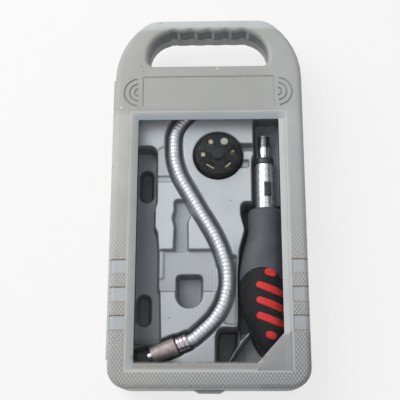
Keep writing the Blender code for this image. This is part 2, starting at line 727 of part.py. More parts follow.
def make_hinge_pin(finish, parent):
    pin = rod("hinge_pin", HINGE_PIN_RADIUS, HINGE_BOTTOM_Y + MM, HINGE_TOP_Y - MM, 12, finish, parent)
    lay_along(pin, (HINGE_X, 0, PARTING_Z), (0, 1, 0))
    return pin


def make_latch(finish, parent):
    """Flat latch plate built about its pivot, with a round foot and a stub pin at each end."""
    bm = bmesh.new()
    half = LATCH_THICKNESS / 2
    reach = LATCH_HIGH_Z - LATCH_PIVOT_Z
    profile = [(half * math.cos(math.pi + math.pi * k / 6), half * math.sin(math.pi + math.pi * k / 6))
               for k in range(7)]
    profile += [(half, reach - 0.8 * MM), (half - 0.8 * MM, reach), (-half, reach)]
    rings = [[bm.verts.new((x, y, z)) for x, z in profile] for y in (LATCH_BOTTOM_Y, LATCH_TOP_Y)]
    loft(bm, rings)
    latch = add_mesh("latch", bm, finish, parent)
    pins = rod("latch_pins", LATCH_PIN_RADIUS, LATCH_BOTTOM_Y - LATCH_PIN_LENGTH,
               LATCH_TOP_Y + LATCH_PIN_LENGTH, 12)
    join(latch, pins)
    lay_along(pins, (0, 0, 0), (0, 1, 0))
    return latch


# =====================================================================================================
# Tool tray
# =====================================================================================================

def end_direction():
    """Unit vector out of the shaft's output end."""
    return Vector((-math.cos(SHAFT_END_TURN), -math.sin(SHAFT_END_TURN)))


def shaft_points(step, beyond=0.0):
    """Centre line of the flexible shaft, seen from above, from its output mouth to its input mouth."""
    out = Vector(OUTPUT_MOUTH) * MM
    into = Vector(INPUT_MOUTH) * MM
    curve = [out - end_direction() * HOSE_LEAD] + [Vector(point) * MM for point in SHAFT_ROUTE]
    curve += [into - Vector((HOSE_LEAD, 0))]
    straight = HOSE_LEAD + beyond
    count = max(1, round(straight / step))
    first = [curve[0] + end_direction() * straight * (count - k) / count for k in range(count)]
    last = [curve[-1] + Vector((straight * (k + 1) / count, 0)) for k in range(count)]
    return first + smooth_route(curve, step) + last


def along_output(distance, side=0.0):
    """A point out along the output end's axis, shifted sideways."""
    axis = end_direction()
    return Vector(OUTPUT_MOUTH) * MM + axis * distance + Vector((-axis.y, axis.x)) * side


def output_strip(start, end, half_width):
    return [tuple(along_output(distance, side * half_width))
            for distance, side in ((end, -1), (end, 1), (start, 1), (start, -1))]


def tray_top_areas():
    """(outline, height) of the tray's steps, in the order they are sunk into it."""
    channel = strip_outline(shaft_points(7 * MM), CHANNEL_HALF_WIDTH)
    long_pocket = mm_corners((-66, -90, 5), (-41.5, -90, 4), (-42, -70, 20), (-43.2, -30, 20),
                             (-44.6, -5, 8),
                             (-45.6, 6.5, 4), (-48, 11.5, 4), (-48, 28.5, 4), (-46.4, 33.5, 4),
                             (-46.6, 86, 7), (-66, 86, 4))
    upper_obround = box_corners(-62.2 * MM, -50.9 * MM, 39.4 * MM, 68.1 * MM, 5.4 * MM)
    lower_obround = box_corners(-62.8 * MM, -51.5 * MM, -72.4 * MM, -46.1 * MM, 5.4 * MM)
    barrel_room = mm_corners((40.9, 88, 2), (40.9, 77.5, 2), (39, 72, 4), (39, 30, 2), (65.2, 30, 2),
                             (65.2, 112, 4), (40.9, 112, 4))
    handle_room = mm_corners((35.2, -79.5, 2), (38.9, -89.5, 6), (44, -97.5, 6), (49.5, -102.5, 4), (58, -103, 6),
                             (68.6, -88, 8), (69.4, -50, 20), (68.8, 20, 10), (67.2, 33.2, 4), (29, 33.2, 4),
                             (29, 22.5, 4), (32.4, 9, 8), (27.6, -8.5, 8), (25.4, -30, 10), (25.2, -79.5, 3))
    dark_recess = mm_corners((6.4, -107, 2), (14, -107, 2), (24.6, -89.5, 2), (24.6, -76.8, 1),
                             (8.2, -76.8, 3), (6.4, -84, 3))
    butt_shelf = mm_corners((15.4, -107, 1), (49, -107, 2), (47, -101, 6), (41, -93, 6), (36.5, -79.6, 1))
    small_step = mm_corners((25.4, -87.2, 0.6), (33.2, -80, 0.6), (25.4, -80, 0.6))
    area_c = mm_corners((-44.4, -45, 3), (7.2, -45, 3), (6.6, -9, 3), (-44.4, -9, 3))
    strip_left = mm_corners((-43.8, -34, 1.5), (-39.2, -34, 1.5), (-39.2, -9.6, 1.5), (-43.8, -9.6, 1.5))
    strip_right = mm_corners((2.8, -44.4, 1.5), (6.4, -44.4, 1.5), (6.4, -21.6, 1.5), (2.8, -21.6, 1.5))
    slot = mm_corners((-30.4, -10, 2), (-18.2, -10, 2), (-18.6, 16, 3), (-14, 26, 3), (-19, 36, 3),
                      (-30.4, 36, 3), (-29.6, 27, 3), (-31.6, 20, 3), (-29.6, 12, 3))
    u_pocket = mm_corners((-27.6, -58.6, 10.5), (-6.2, -58.6, 10.5), (-6.2, -31, 3), (-27.6, -31, 3))
    middle_column = mm_corners((12, -72, 3), (23.6, -74, 3), (24.2, -14, 3), (16, -14, 3))
    upper_ledge = mm_corners((-46, 59.5, 2), (-33, 59.5, 2), (-36, 86, 2), (-46, 86, 6))
    middle_band = mm_corners((-46, 53.2, 1), (-28, 53.2, 1), (-28, 59, 1), (-46, 59, 1))
    puck_slot_high = mm_corners((20, 82, 1.5), (41.5, 82, 1), (41.5, 87.8, 1), (20, 87.8, 1.5))
    puck_slot_low = mm_corners((20, 66, 1.5), (36, 66, 2), (36, 72.6, 1), (20, 72.6, 1.5))
    shank_room = mm_corners((12, 121.5, 3), (62, 121.5, 3), (62, 138.5, 3), (12, 138.5, 3))
    areas = [
        (rounded_outline(long_pocket), LONG_POCKET_Z),
        (rounded_outline(upper_obround), OBROUND_Z),
        (rounded_outline(lower_obround), OBROUND_Z),
        (rounded_outline(upper_ledge), TRAY_TOP_Z - 2 * MM),
        (rounded_outline(middle_band), TRAY_TOP_Z - 4 * MM),
        (rounded_outline(area_c), TRAY_TOP_Z - 5 * MM),
        (rounded_outline(strip_left), TRAY_TOP_Z - 3 * MM),
        (rounded_outline(strip_right), TRAY_TOP_Z - 3 * MM),
        (rounded_outline(slot), TRAY_TOP_Z - 7 * MM),
        (rounded_outline(u_pocket), 14 * MM),
        (rounded_outline(middle_column), TRAY_TOP_Z - 6 * MM),
        (channel, CHANNEL_FLOOR_Z),
        (rounded_outline(shank_room), 21.6 * MM),
        (output_strip(-2.5 * MM, FERRULE_LENGTH, FERRULE_RADIUS + 2.2 * MM), 21.6 * MM),
        (output_strip(FERRULE_LENGTH - MM, 46 * MM, COLLAR_REAR_RADIUS + 1.6 * MM), SOCKET_RECESS_Z),
        (rounded_outline(butt_shelf), 17 * MM),
        (rounded_outline(dark_recess), 5 * MM),
        (rounded_outline(small_step), 18 * MM),
        (rounded_outline(barrel_room), DRIVER_Z - BARREL_RADIUS - 0.7 * MM),
        (rounded_outline(handle_room), 4.6 * MM),
        (rounded_outline(puck_slot_high), TRAY_TOP_Z - 8 * MM),
        (rounded_outline(puck_slot_low), TRAY_TOP_Z - 4 * MM),
        (disc(PUCK_X, PUCK_Y, PUCK_RADIUS + 0.9 * MM, 32), PUCK_FLOOR_Z - PART_GAP - 0.1 * MM),
    ]
    return areas


def make_tool_tray(finish, parent):
    """The tool side of the case's lower half: raised areas between the sunk places of the tools."""
    tray_inset = CASE_WALL + TRAY_SIDE_GAP
    outer = rounded_outline(tub_corners(), tray_inset)
    hollow_z = TRAY_TOP_Z - TRAY_SKIN
    left_land = HALF_WIDTH - tray_inset - LONG_POCKET_EDGE_X
    right_land = HALF_WIDTH - tray_inset - HANDLE_ROOM_EDGE_X
    left_near, left_far = (-LONG_POCKET_EDGE_X - share * left_land for share in (0.21, 0.69))
    right_near, right_far = (HANDLE_ROOM_EDGE_X + share * right_land for share in (0.28, 0.64))
    hollows = [
        box_corners(left_far, -44 * MM, 94 * MM, 141 * MM, 0.3 * left_land),
        box_corners(left_far, left_near, -84 * MM, 88 * MM, 0.12 * left_land),
        box_corners(right_near, right_far, -100 * MM, 140 * MM, 0.09 * right_land),
        mm_corners((20.5, -3, 2), (24.5, -3, 2), (28.5, 9, 3), (26, 22, 3), (26, 42, 2), (34, 50, 2),
                   (-4, 50, 3), (-4, 44.5, 3), (2.5, 31.5, 6), (9, 20, 6), (15, 9, 6)),
        mm_corners((-42, -1, 2), (-34.2, -1, 2), (-34.2, 49, 2), (-42, 49, 2)),
        mm_corners((-34, -120, 3), (2, -120, 3), (2, -96, 3), (-20, -102, 3)),
        mm_corners((-38, -76, 4), (-24, -72, 4), (-14, -68, 3), (-20, -64, 3), (-38, -50, 3)),
    ]
    return relief("tool_tray", outer, TRAY_TOP_Z, CASE_FLOOR + PART_GAP, tray_top_areas(),
                  [(rounded_outline(hollow), hollow_z) for hollow in hollows], finish, parent)


# =====================================================================================================
# Ratchet driver
# =====================================================================================================

def handle_at(y):
    """Centre x, half width and half height of the handle at y, on a smooth curve through the stations."""
    rows = [(y_mm * MM, (left + right) / 2 * MM, (right - left) / 2 * MM, share * GRIP_HALF_HEIGHT)
            for y_mm, left, right, share in HANDLE_STATIONS]
    y = min(max(y, rows[-1][0]), rows[0][0])
    k = max(i for i in range(len(rows) - 1) if rows[i][0] >= y)
    a, b = rows[k], rows[k + 1]
    before, after = rows[max(k - 1, 0)], rows[min(k + 2, len(rows) - 1)]
    t = (a[0] - y) / (a[0] - b[0])
    result = []
    for c in (1, 2, 3):
        slope_a = (b[c] - before[c]) / (before[0] - b[0]) * (a[0] - b[0])
        slope_b = (after[c] - a[c]) / (a[0] - after[0]) * (a[0] - b[0])
        result.append((2 * t ** 3 - 3 * t ** 2 + 1) * a[c] + (t ** 3 - 2 * t ** 2 + t) * slope_a
                      + (3 * t ** 2 - 2 * t ** 3) * b[c] + (t ** 3 - t ** 2) * slope_b)
    return result


def handle_point(y, angle, lift=0.0):
    """A point on the handle, angle turning from the top towards +X."""
    centre, half_width, half_height = handle_at(y)
    return Vector((centre + (half_width + lift) * math.sin(angle), y,
                   DRIVER_Z + (half_height + lift) * math.cos(angle)))


def grip_edge(angle):
    """y of the rubber grip's front edge: a dome seen from above, and its mirror image underneath."""
    centre, half_width, _ = handle_at(GRIP_DOME_Y + GRIP_DOME_RADIUS / 3)
    limit = 0.9 * GRIP_DOME_RADIUS
    aside = max(-limit, min(limit, centre + half_width * math.sin(angle) - GRIP_DOME_X))
    return GRIP_DOME_Y + math.sqrt(GRIP_DOME_RADIUS ** 2 - aside ** 2)


def handle_rings(bm, start, end, lift, rows):
    """Rings of the handle's surface between two edges, each a function of the angle."""
    rings = []
    for row in range(rows + 1):
        ring = []
        for k in range(HANDLE_SIDES):
            angle = -2 * math.pi * k / HANDLE_SIDES
            y = start(angle) + (end(angle) - start(angle)) * row / rows
            ring.append(bm.verts.new(handle_point(y, angle, lift)))
        rings.append(ring)
    return rings


HANDLE_FRONT_Y = HANDLE_STATIONS[0][0] * MM
HANDLE_END_Y = HANDLE_STATIONS[-1][0] * MM
CORE_END_Y = HANDLE_END_Y + 3.2 * MM
RING_FRONT_Y = NOSE_TIP_Y - NOSE_LENGTH
BARREL_FRONT_Y = RING_FRONT_Y - RING_LENGTH - PART_GAP
GEAR_CENTRE = SELECTOR_Y - RING_FRONT_Y
DRIVER_AXIS = (0, 1, 0)


def make_handle_core(finish, parent):
    bm = bmesh.new()
    rings = handle_rings(bm, lambda a: HANDLE_FRONT_Y, lambda a: grip_edge(a) + GRIP_STEP, 0.0, 8)
    rings += handle_rings(bm, lambda a: grip_edge(a) + GRIP_STEP, lambda a: CORE_END_Y,
                          -GRIP_THICKNESS - PART_GAP, 7)
    loft(bm, rings)
    core = add_mesh("handle_core", bm, finish, parent)
    bore = rod("handle_bore", BARREL_RADIUS + PART_GAP, -BARREL_TAIL - PART_GAP, CUT_PAST, 24)
    cut(core, bore)
    lay_along(bore, (DRIVER_X, HANDLE_FRONT_Y, DRIVER_Z), DRIVER_AXIS)
    return core


def make_grip_sleeve(finish, parent):
    bm = bmesh.new()
    inner = handle_rings(bm, grip_edge, lambda a: CORE_END_Y - PART_GAP, -GRIP_THICKNESS, 7)
    outer = handle_rings(bm, grip_edge, lambda a: HANDLE_END_Y, 0.0, 9)
    loft(bm, list(reversed(inner)) + outer)
    return add_mesh("grip_sleeve", bm, finish, parent)


def make_grip_pad(index, spec, finish, parent):
    """One raised pad, laid on the grip's upper face as a slanted stadium."""
    x, y, length, slant = spec[0] * MM, spec[1] * MM, spec[2] * MM, math.radians(spec[3])
    along = Vector((math.cos(slant), math.sin(slant)))
    across = Vector((-along.y, along.x))
    end_radius = PAD_WIDTH / 2
    straight = length / 2 - end_radius
    stations = [(-straight - end_radius * math.cos(math.pi / 8 * k), end_radius * math.sin(math.pi / 8 * k))
                for k in range(5)]
    middle = max(2, round(2 * straight / (3 * MM)))
    stations += [(-straight + 2 * straight * k / middle, end_radius) for k in range(1, middle)]
    stations += [(-s, w) for s, w in reversed(stations[:5])]
    bm = bmesh.new()
    rings = []
    for reach, half in stations:
        half = max(half, 0.35 * MM)
        ring = []
        for share, rise in ((-1, 0), (0, 0), (1, 0), (1, 0.75), (0, 1.0), (-1, 0.75)):
            place = Vector((x, y)) + along * reach + across * share * half
            centre, half_width, half_height = handle_at(place.y)
            aside = max(-0.98, min(0.98, (place.x - centre) / half_width))
            up = math.sqrt(1 - aside * aside)
            normal = Vector((aside / half_width, 0, up / half_height)).normalized()
            height = PART_GAP + PAD_THICKNESS * rise
            base = Vector((centre + half_width * aside, place.y, DRIVER_Z + half_height * up))
            ring.append(bm.verts.new(base + normal * height))
        rings.append(ring)
    loft(bm, rings)
    return add_mesh(f"grip_pad_{index}", bm, finish, parent)


def make_ratchet_barrel(finish, parent):
    length = BARREL_FRONT_Y - HANDLE_FRONT_Y + BARREL_TAIL
    inner = BARREL_RADIUS - BARREL_WALL
    spindle_room = SPINDLE_RADIUS + RUNNING_GAP
    profile = [(inner, 0), (BARREL_RADIUS, 0), (BARREL_RADIUS, length - 0.6 * MM),
               (BARREL_RADIUS - 0.6 * MM, length), (spindle_room, length),
               (spindle_room, length - 2 * MM), (inner, length - 2 * MM)]
    barrel = turned("ratchet_barrel", profile, 28, finish, parent, hollow=True)
    lay_along(barrel, (DRIVER_X, HANDLE_FRONT_Y - BARREL_TAIL, DRIVER_Z), DRIVER_AXIS)
    slot_length = SELECTOR_LENGTH / 4 + SELECTOR_STROKE + RUNNING_GAP
    slot_width = SELECTOR_STEM_WIDTH / 2 + RUNNING_GAP
    slot = box_tool("selector_slot", (-slot_width, -slot_length, inner - MM),
                    (slot_width, slot_length, BARREL_RADIUS + CUT_PAST))
    cut(barrel, slot)
    slot.parent = parent
    slot.location = (DRIVER_X, SELECTOR_Y, DRIVER_Z)
    slot.rotation_euler = (0, SELECTOR_TURN, 0)
    return barrel


def make_barrel_ring(finish, parent):
    room = SPINDLE_RADIUS + RUNNING_GAP
    edge = 0.7 * MM
    ring = turned("barrel_ring",
                  [(room, 0), (RING_RADIUS - edge, 0), (RING_RADIUS, edge), (RING_RADIUS, RING_LENGTH - edge),
                   (RING_RADIUS - edge, RING_LENGTH), (room, RING_LENGTH)], 28, finish, parent, hollow=True)
    lay_along(ring, (DRIVER_X, BARREL_FRONT_Y + PART_GAP, DRIVER_Z), DRIVER_AXIS)
    return ring


def make_bit_holder(finish, parent):
    """Nose of the driver, built along the spindle's axis from the ring's front face."""
    edge = 0.6 * MM
    groove = NOSE_LENGTH * 0.45
    rear = RUNNING_GAP
    holder = turned("bit_holder",
                    [(NOSE_RADIUS, rear), (NOSE_RADIUS, groove - edge), (NOSE_RADIUS - edge, groove),
                     (NOSE_RADIUS, groove + edge), (NOSE_RADIUS, NOSE_LENGTH - edge),
                     (NOSE_RADIUS - edge, NOSE_LENGTH)], 24, finish, parent)
    cut(holder, prism("bit_holder_hex", hexagon(NOSE_HEX), NOSE_LENGTH - NOSE_HEX_DEPTH,
                      NOSE_LENGTH + CUT_PAST))
    cut(holder, rod("bit_holder_socket", SPINDLE_RADIUS + PART_GAP, rear - CUT_PAST,
                    SPINDLE_SEAT + PART_GAP, 16))
    return holder


def make_bit_magnet(finish, parent):
    seat = NOSE_LENGTH - NOSE_HEX_DEPTH + PART_GAP
    return rod("bit_magnet", NOSE_HEX / 2 - PART_GAP, seat, seat + MAGNET_LENGTH, 16, finish, parent)


def make_spindle(finish, parent):
    tail = GEAR_CENTRE - GEAR_LENGTH / 2 - MM
    return rod("spindle", SPINDLE_RADIUS, tail, SPINDLE_SEAT, 16, finish, parent)


def make_ratchet_gear(finish, parent):
    outline = []
    for k in range(GEAR_TEETH):
        for share, radius in ((0, GEAR_ROOT_RADIUS), (0.3, GEAR_RADIUS), (0.6, GEAR_RADIUS),
                              (0.9, GEAR_ROOT_RADIUS)):
            angle = 2 * math.pi * (k + share) / GEAR_TEETH
            outline.append((radius * math.cos(angle), radius * math.sin(angle)))
    low, high = GEAR_CENTRE - GEAR_LENGTH / 2, GEAR_CENTRE + GEAR_LENGTH / 2
    gear = prism("ratchet_gear", outline, low, high, finish, parent)
    cut(gear, rod("ratchet_gear_bore", SPINDLE_RADIUS + PART_GAP, low - CUT_PAST, high + CUT_PAST, 16))
    return gear


def make_selector(finish, parent):
    """Thumb slide, built about the barrel's axis with its own direction up: a notched pad on a stem."""
    seat = BARREL_RADIUS + PART_GAP
    top = seat + SELECTOR_HEIGHT
    notch = 0.55 * MM
    half_length, half_width = SELECTOR_LENGTH / 2, SELECTOR_WIDTH / 2
    rows = [(-half_length, top - 1.2 * MM), (-half_length + 1.2 * MM, top)]
    pitch = (SELECTOR_LENGTH - 4 * MM) / SELECTOR_NOTCHES
    for k in range(SELECTOR_NOTCHES):
        middle = (k - (SELECTOR_NOTCHES - 1) / 2) * pitch
        rows += [(middle - notch, top), (middle, top - notch), (middle + notch, top)]
    rows += [(half_length - 1.2 * MM, top), (half_length, top - 1.2 * MM)]
    bm = bmesh.new()
    rings = []
    for y, high in rows:
        ring = []
        for k in range(5):
            x = half_width * (k / 2 - 1)
            ring.append(bm.verts.new((x, y, math.sqrt(seat ** 2 - x ** 2))))
        ring.append(bm.verts.new((half_width, y, high - 0.8 * MM)))
        ring.append(bm.verts.new((half_width - 0.8 * MM, y, high)))
        ring.append(bm.verts.new((-half_width + 0.8 * MM, y, high)))
        ring.append(bm.verts.new((-half_width, y, high - 0.8 * MM)))
        rings.append(ring)
    loft(bm, rings)
    selector = add_mesh("selector", bm, finish, parent)
    stem = SELECTOR_STEM_WIDTH / 2
    join(selector, box_tool("selector_stem", (-stem, -SELECTOR_LENGTH / 4, GEAR_RADIUS + RUNNING_GAP),
                            (stem, SELECTOR_LENGTH / 4, seat + SELECTOR_HEIGHT / 2)))
    return selector


def make_pawl(name, side, finish, parent):
    """Curved pawl beside the selector's stem, between the gear and the barrel."""
    inner = GEAR_RADIUS + PART_GAP
    outer = inner + PAWL_THICKNESS
    start = math.asin((SELECTOR_STEM_WIDTH / 2 + PART_GAP) / inner)
    sweep = math.radians(42)
    bm = bmesh.new()
    rings = []
    for k in range(6):
        angle = side * (start + sweep * k / 5)
        tip = 1.0 if k < 5 else 0.6
        ring = []
        for radius, y in ((inner, -1), (outer, -1), (outer, 1), (inner, 1)):
            reach = inner + (radius - inner) * tip
            ring.append(bm.verts.new((reach * math.sin(angle), y * PAWL_LENGTH / 2, reach * math.cos(angle))))
        rings.append(ring)
    loft(bm, rings)
    return add_mesh(name, bm, finish, parent)


# =====================================================================================================
# Flexible shaft
# =====================================================================================================

def at_height(points, z):
    return [(point.x, point.y, z) for point in points]


def make_flex_casing(finish, parent):
    """Ribbed hose: crests and roots in turn along the route, with a plain bore cut through it."""
    route = at_height(shaft_points(HOSE_RIB_PITCH / 2, HOSE_SEATED), SHAFT_Z)
    radii = [HOSE_CREST_RADIUS if k % 2 else HOSE_ROOT_RADIUS for k in range(len(route))]
    casing = tube("flex_casing", route, radii, finish, parent)
    bore = at_height(shaft_points(8 * MM, HOSE_SEATED + CUT_PAST), SHAFT_Z)
    cut(casing, tube("flex_casing_bore", bore, [HOSE_BORE_RADIUS] * len(bore), resolution=1))
    return casing


def make_flex_core(finish, parent):
    """Drive core from the output socket to the input ferrule."""
    reach = socket_rear() - PART_GAP
    points = at_height([along_output(reach)] + shaft_points(8 * MM, HOSE_SEATED), SHAFT_Z)
    return tube("flex_core", points, [CORE_RADIUS] * len(points), finish, parent, 1)


def make_ferrule(name, mouth, direction, finish, parent):
    """Crimped end of the hose, its mouth towards the hose."""
    bore = HOSE_CREST_RADIUS + PART_GAP
    hole = CORE_RADIUS + RUNNING_GAP
    floor = HOSE_SEATED + PART_GAP
    crimp = FERRULE_LENGTH * 0.45
    ferrule = turned(name,
                     [(bore, 0), (FERRULE_RADIUS, 0), (FERRULE_RADIUS, crimp - 0.6 * MM),
                      (FERRULE_RADIUS - 0.4 * MM, crimp), (FERRULE_RADIUS, crimp + 0.6 * MM),
                      (FERRULE_RADIUS, FERRULE_LENGTH - 0.5 * MM),
                      (FERRULE_RADIUS - 0.5 * MM, FERRULE_LENGTH), (hole, FERRULE_LENGTH), (hole, floor),
                      (bore, floor)], 20, finish, parent, hollow=True)
    lay_along(ferrule, (mouth[0] * MM, mouth[1] * MM, SHAFT_Z), direction)
    return ferrule


def collar_rear():
    return FERRULE_LENGTH + PART_GAP


def socket_rear():
    return collar_rear() + COLLAR_NECK_LENGTH + COLLAR_LENGTH - BUSH_SEAT


def make_socket_collar(finish, parent):
    """Hand grip of the output end, built outwards along its axis from its neck."""
    start = COLLAR_NECK_LENGTH
    end = start + COLLAR_LENGTH
    bore = BUSH_RADIUS + RUNNING_GAP
    floor = end - BUSH_SEAT - RUNNING_GAP
    hole = CORE_RADIUS + RUNNING_GAP
    slope = (COLLAR_REAR_RADIUS - COLLAR_FRONT_RADIUS) / COLLAR_LENGTH
    profile = [(hole, 0), (COLLAR_NECK_RADIUS, 0), (COLLAR_NECK_RADIUS, start - 0.3 * MM),
               (COLLAR_REAR_RADIUS - 0.8 * MM, start), (COLLAR_REAR_RADIUS, start + 0.8 * MM)]
    profile += [(COLLAR_REAR_RADIUS - slope * 15 * MM, start + 15 * MM),
                (COLLAR_FRONT_RADIUS, end - MM), (COLLAR_FRONT_RADIUS - 0.8 * MM, end),
                (bore, end), (bore, floor), (hole, floor)]
    collar = turned("socket_collar", profile, 24, finish, parent, hollow=True)
    place = along_output(collar_rear())
    lay_along(collar, (place.x, place.y, SHAFT_Z), (*end_direction(), 0))
    return collar


def output_axis_place():
    """Rear face of the output bush."""
    place = along_output(socket_rear())
    return (place.x, place.y, SHAFT_Z)


def make_output_socket(finish, parent):
    length = BUSH_SEAT + BUSH_PROUD
    socket = turned("output_socket",
                    [(BUSH_RADIUS, 0), (BUSH_RADIUS, length - 0.5 * MM), (BUSH_RADIUS - 0.5 * MM, length)],
                    24, finish, parent)
    cut(socket, prism("output_socket_hex", hexagon(NOSE_HEX), length - NOSE_HEX_DEPTH, length + CUT_PAST))
    return socket


def make_input_shank(finish, parent):
    """Hexagonal drive end with its round journal, built along its axis from the ferrule's front face."""
    edge = 0.6 * MM
    bm = bmesh.new()
    rings = []
    for z, scale in ((PART_GAP, 1.0), (SHANK_LENGTH - edge, 1.0), (SHANK_LENGTH, 0.82)):
        rings.append([bm.verts.new((x * scale, y * scale, z)) for x, y in hexagon(HEX_ACROSS_FLATS)])
    loft(bm, rings)
    shank = add_mesh("input_shank", bm, finish, parent)
    journal = FERRULE_LENGTH - HOSE_SEATED - PART_GAP
    join(shank, rod("input_shank_journal", CORE_RADIUS, -journal, MM, 16))
    return shank


# =====================================================================================================
# Bit puck
# =====================================================================================================

def pocket_place(angle_deg):
    angle = math.radians(angle_deg)
    return POCKET_CIRCLE_RADIUS * math.cos(angle), POCKET_CIRCLE_RADIUS * math.sin(angle)


def make_puck_body(finish, parent):
    """Round holder, built about its own axis from its base."""
    shoulder = PUCK_HEIGHT - PUCK_COVER_RIM - RUNNING_GAP
    upper = PUCK_RADIUS - PUCK_COVER_WALL - RUNNING_GAP
    body = turned("puck_body",
                  [(PUCK_RADIUS - MM, 0), (PUCK_RADIUS, MM), (PUCK_RADIUS, shoulder), (upper, shoulder),
                   (upper, PUCK_HEIGHT - 0.5 * MM), (upper - 0.5 * MM, PUCK_HEIGHT)], 36, finish, parent)
    for name, tip, angle, width in BITS:
        room = rod(name + "_pocket", POCKET_RADIUS, PUCK_BASE, PUCK_HEIGHT + CUT_PAST, 14)
        cut(body, room)
        room.location = (*pocket_place(angle), 0)
    through = rod("puck_empty_pocket", POCKET_RADIUS, -CUT_PAST, PUCK_HEIGHT + CUT_PAST, 14)
    cut(body, through)
    through.location = (*pocket_place(EMPTY_POCKET_ANGLE), 0)
    cut(body, rod("puck_rivet_room", PUCK_RIVET_RADIUS + PART_GAP, PUCK_HEIGHT - PUCK_RIVET_DEPTH - PART_GAP,
                  PUCK_HEIGHT + CUT_PAST, 14))
    return body


def make_puck_cover(finish, parent):
    """Clear cap with a rim, its own underside at z = 0; one hole lets a bit out."""
    inner = PUCK_RADIUS - PUCK_COVER_WALL
    hole = PUCK_RIVET_RADIUS + RUNNING_GAP
    profile = [(hole, 0), (inner, 0), (inner, -PUCK_COVER_RIM), (PUCK_RADIUS, -PUCK_COVER_RIM),
               (PUCK_RADIUS, PUCK_COVER_THICKNESS - 0.8 * MM),
               (PUCK_RADIUS - 0.8 * MM, PUCK_COVER_THICKNESS), (hole, PUCK_COVER_THICKNESS)]
    cover = turned("puck_cover", profile, 36, finish, parent, hollow=True)
    window = rod("puck_cover_hole", COVER_HOLE_RADIUS, -CUT_PAST, PUCK_COVER_THICKNESS + CUT_PAST, 16)
    cut(cover, window)
    window.location = (*pocket_place(EMPTY_POCKET_ANGLE), 0)
    return cover


def make_puck_rivet(finish, parent):
    """Headed rivet that holds the cap, measured from the top of the holder."""
    seat = PART_GAP + PUCK_COVER_THICKNESS + PART_GAP
    head = seat + PUCK_RIVET_HEAD_HEIGHT
    return turned("puck_rivet",
                  [(PUCK_RIVET_RADIUS, -PUCK_RIVET_DEPTH), (PUCK_RIVET_RADIUS, seat),
                   (PUCK_RIVET_HEAD, seat), (PUCK_RIVET_HEAD, head - 0.5 * MM),
                   (PUCK_RIVET_HEAD - 0.9 * MM, head)], 24, finish, parent)


def bit_section(kind, size):
    """Twelve points round one section of a bit."""
    points = []
    for k in range(12):
        angle = math.radians(15 + 30 * k)
        c, s = math.cos(angle), math.sin(angle)
        if kind == "hex":
            reach = size / math.sqrt(3) if k % 2 == 0 else size / 2
        elif kind == "square":
            reach = size / 2 / max(abs(c), abs(s))
        else:
            reach = size / 2
        points.append((reach * c, reach * s))
    if kind == "blade":
        half, thin = size / 2, BLADE_THICKNESS / 2
        row = [(half * share, thin) for share in (1, 0.6, 0.2, -0.2, -0.6, -1)]
        points = row + [(-x, -y) for x, y in row]
    if kind == "cross":
        half, arm = size / 2, min(CROSS_ARM / 2, size / 4)
        quarter = [(half, arm), (arm, arm), (arm, half)]
        points = quarter + [(-y, x) for x, y in quarter] + [(-x, -y) for x, y in quarter]
        points += [(y, -x) for x, y in quarter]
    return points


def make_bit(name, tip, width, finish, parent):
    """One hexagon-shank bit, shank down."""
    neck = min(5.2 * MM, width * MM * 0.9)
    neck = max(neck, 4.2 * MM)
    levels = [(0, "hex", HEX_ACROSS_FLATS * 0.88), (0.6 * MM, "hex", HEX_ACROSS_FLATS),
              (BIT_HEX_LENGTH, "hex", HEX_ACROSS_FLATS), (BIT_HEX_LENGTH + 1.2 * MM, "round", neck)]
    if tip == "cross":
        levels += [(20 * MM, "round", width * MM), (20.5 * MM, "cross", width * MM),
                   (BIT_LENGTH, "cross", width * MM * 0.4)]
    elif tip == "blade":
        levels += [(18 * MM, "round", neck), (21.5 * MM, "blade", width * MM),
                   (BIT_LENGTH, "blade", width * MM)]
    else:
        levels += [(18 * MM, "round", neck), (18.8 * MM, tip, width * MM), (BIT_LENGTH, tip, width * MM)]
    bm = bmesh.new()
    rings = [[bm.verts.new((x, y, z)) for x, y in bit_section(kind, size)] for z, kind, size in levels]
    loft(bm, rings)
    return add_mesh(name, bm, finish, parent, 30.0)


# =====================================================================================================
# Assembly
# =====================================================================================================

def hang(axis):
    """Keep what was built in the case's coordinates in place under an axis empty."""
    for child in axis.children:
        child.location = child.location - axis.location


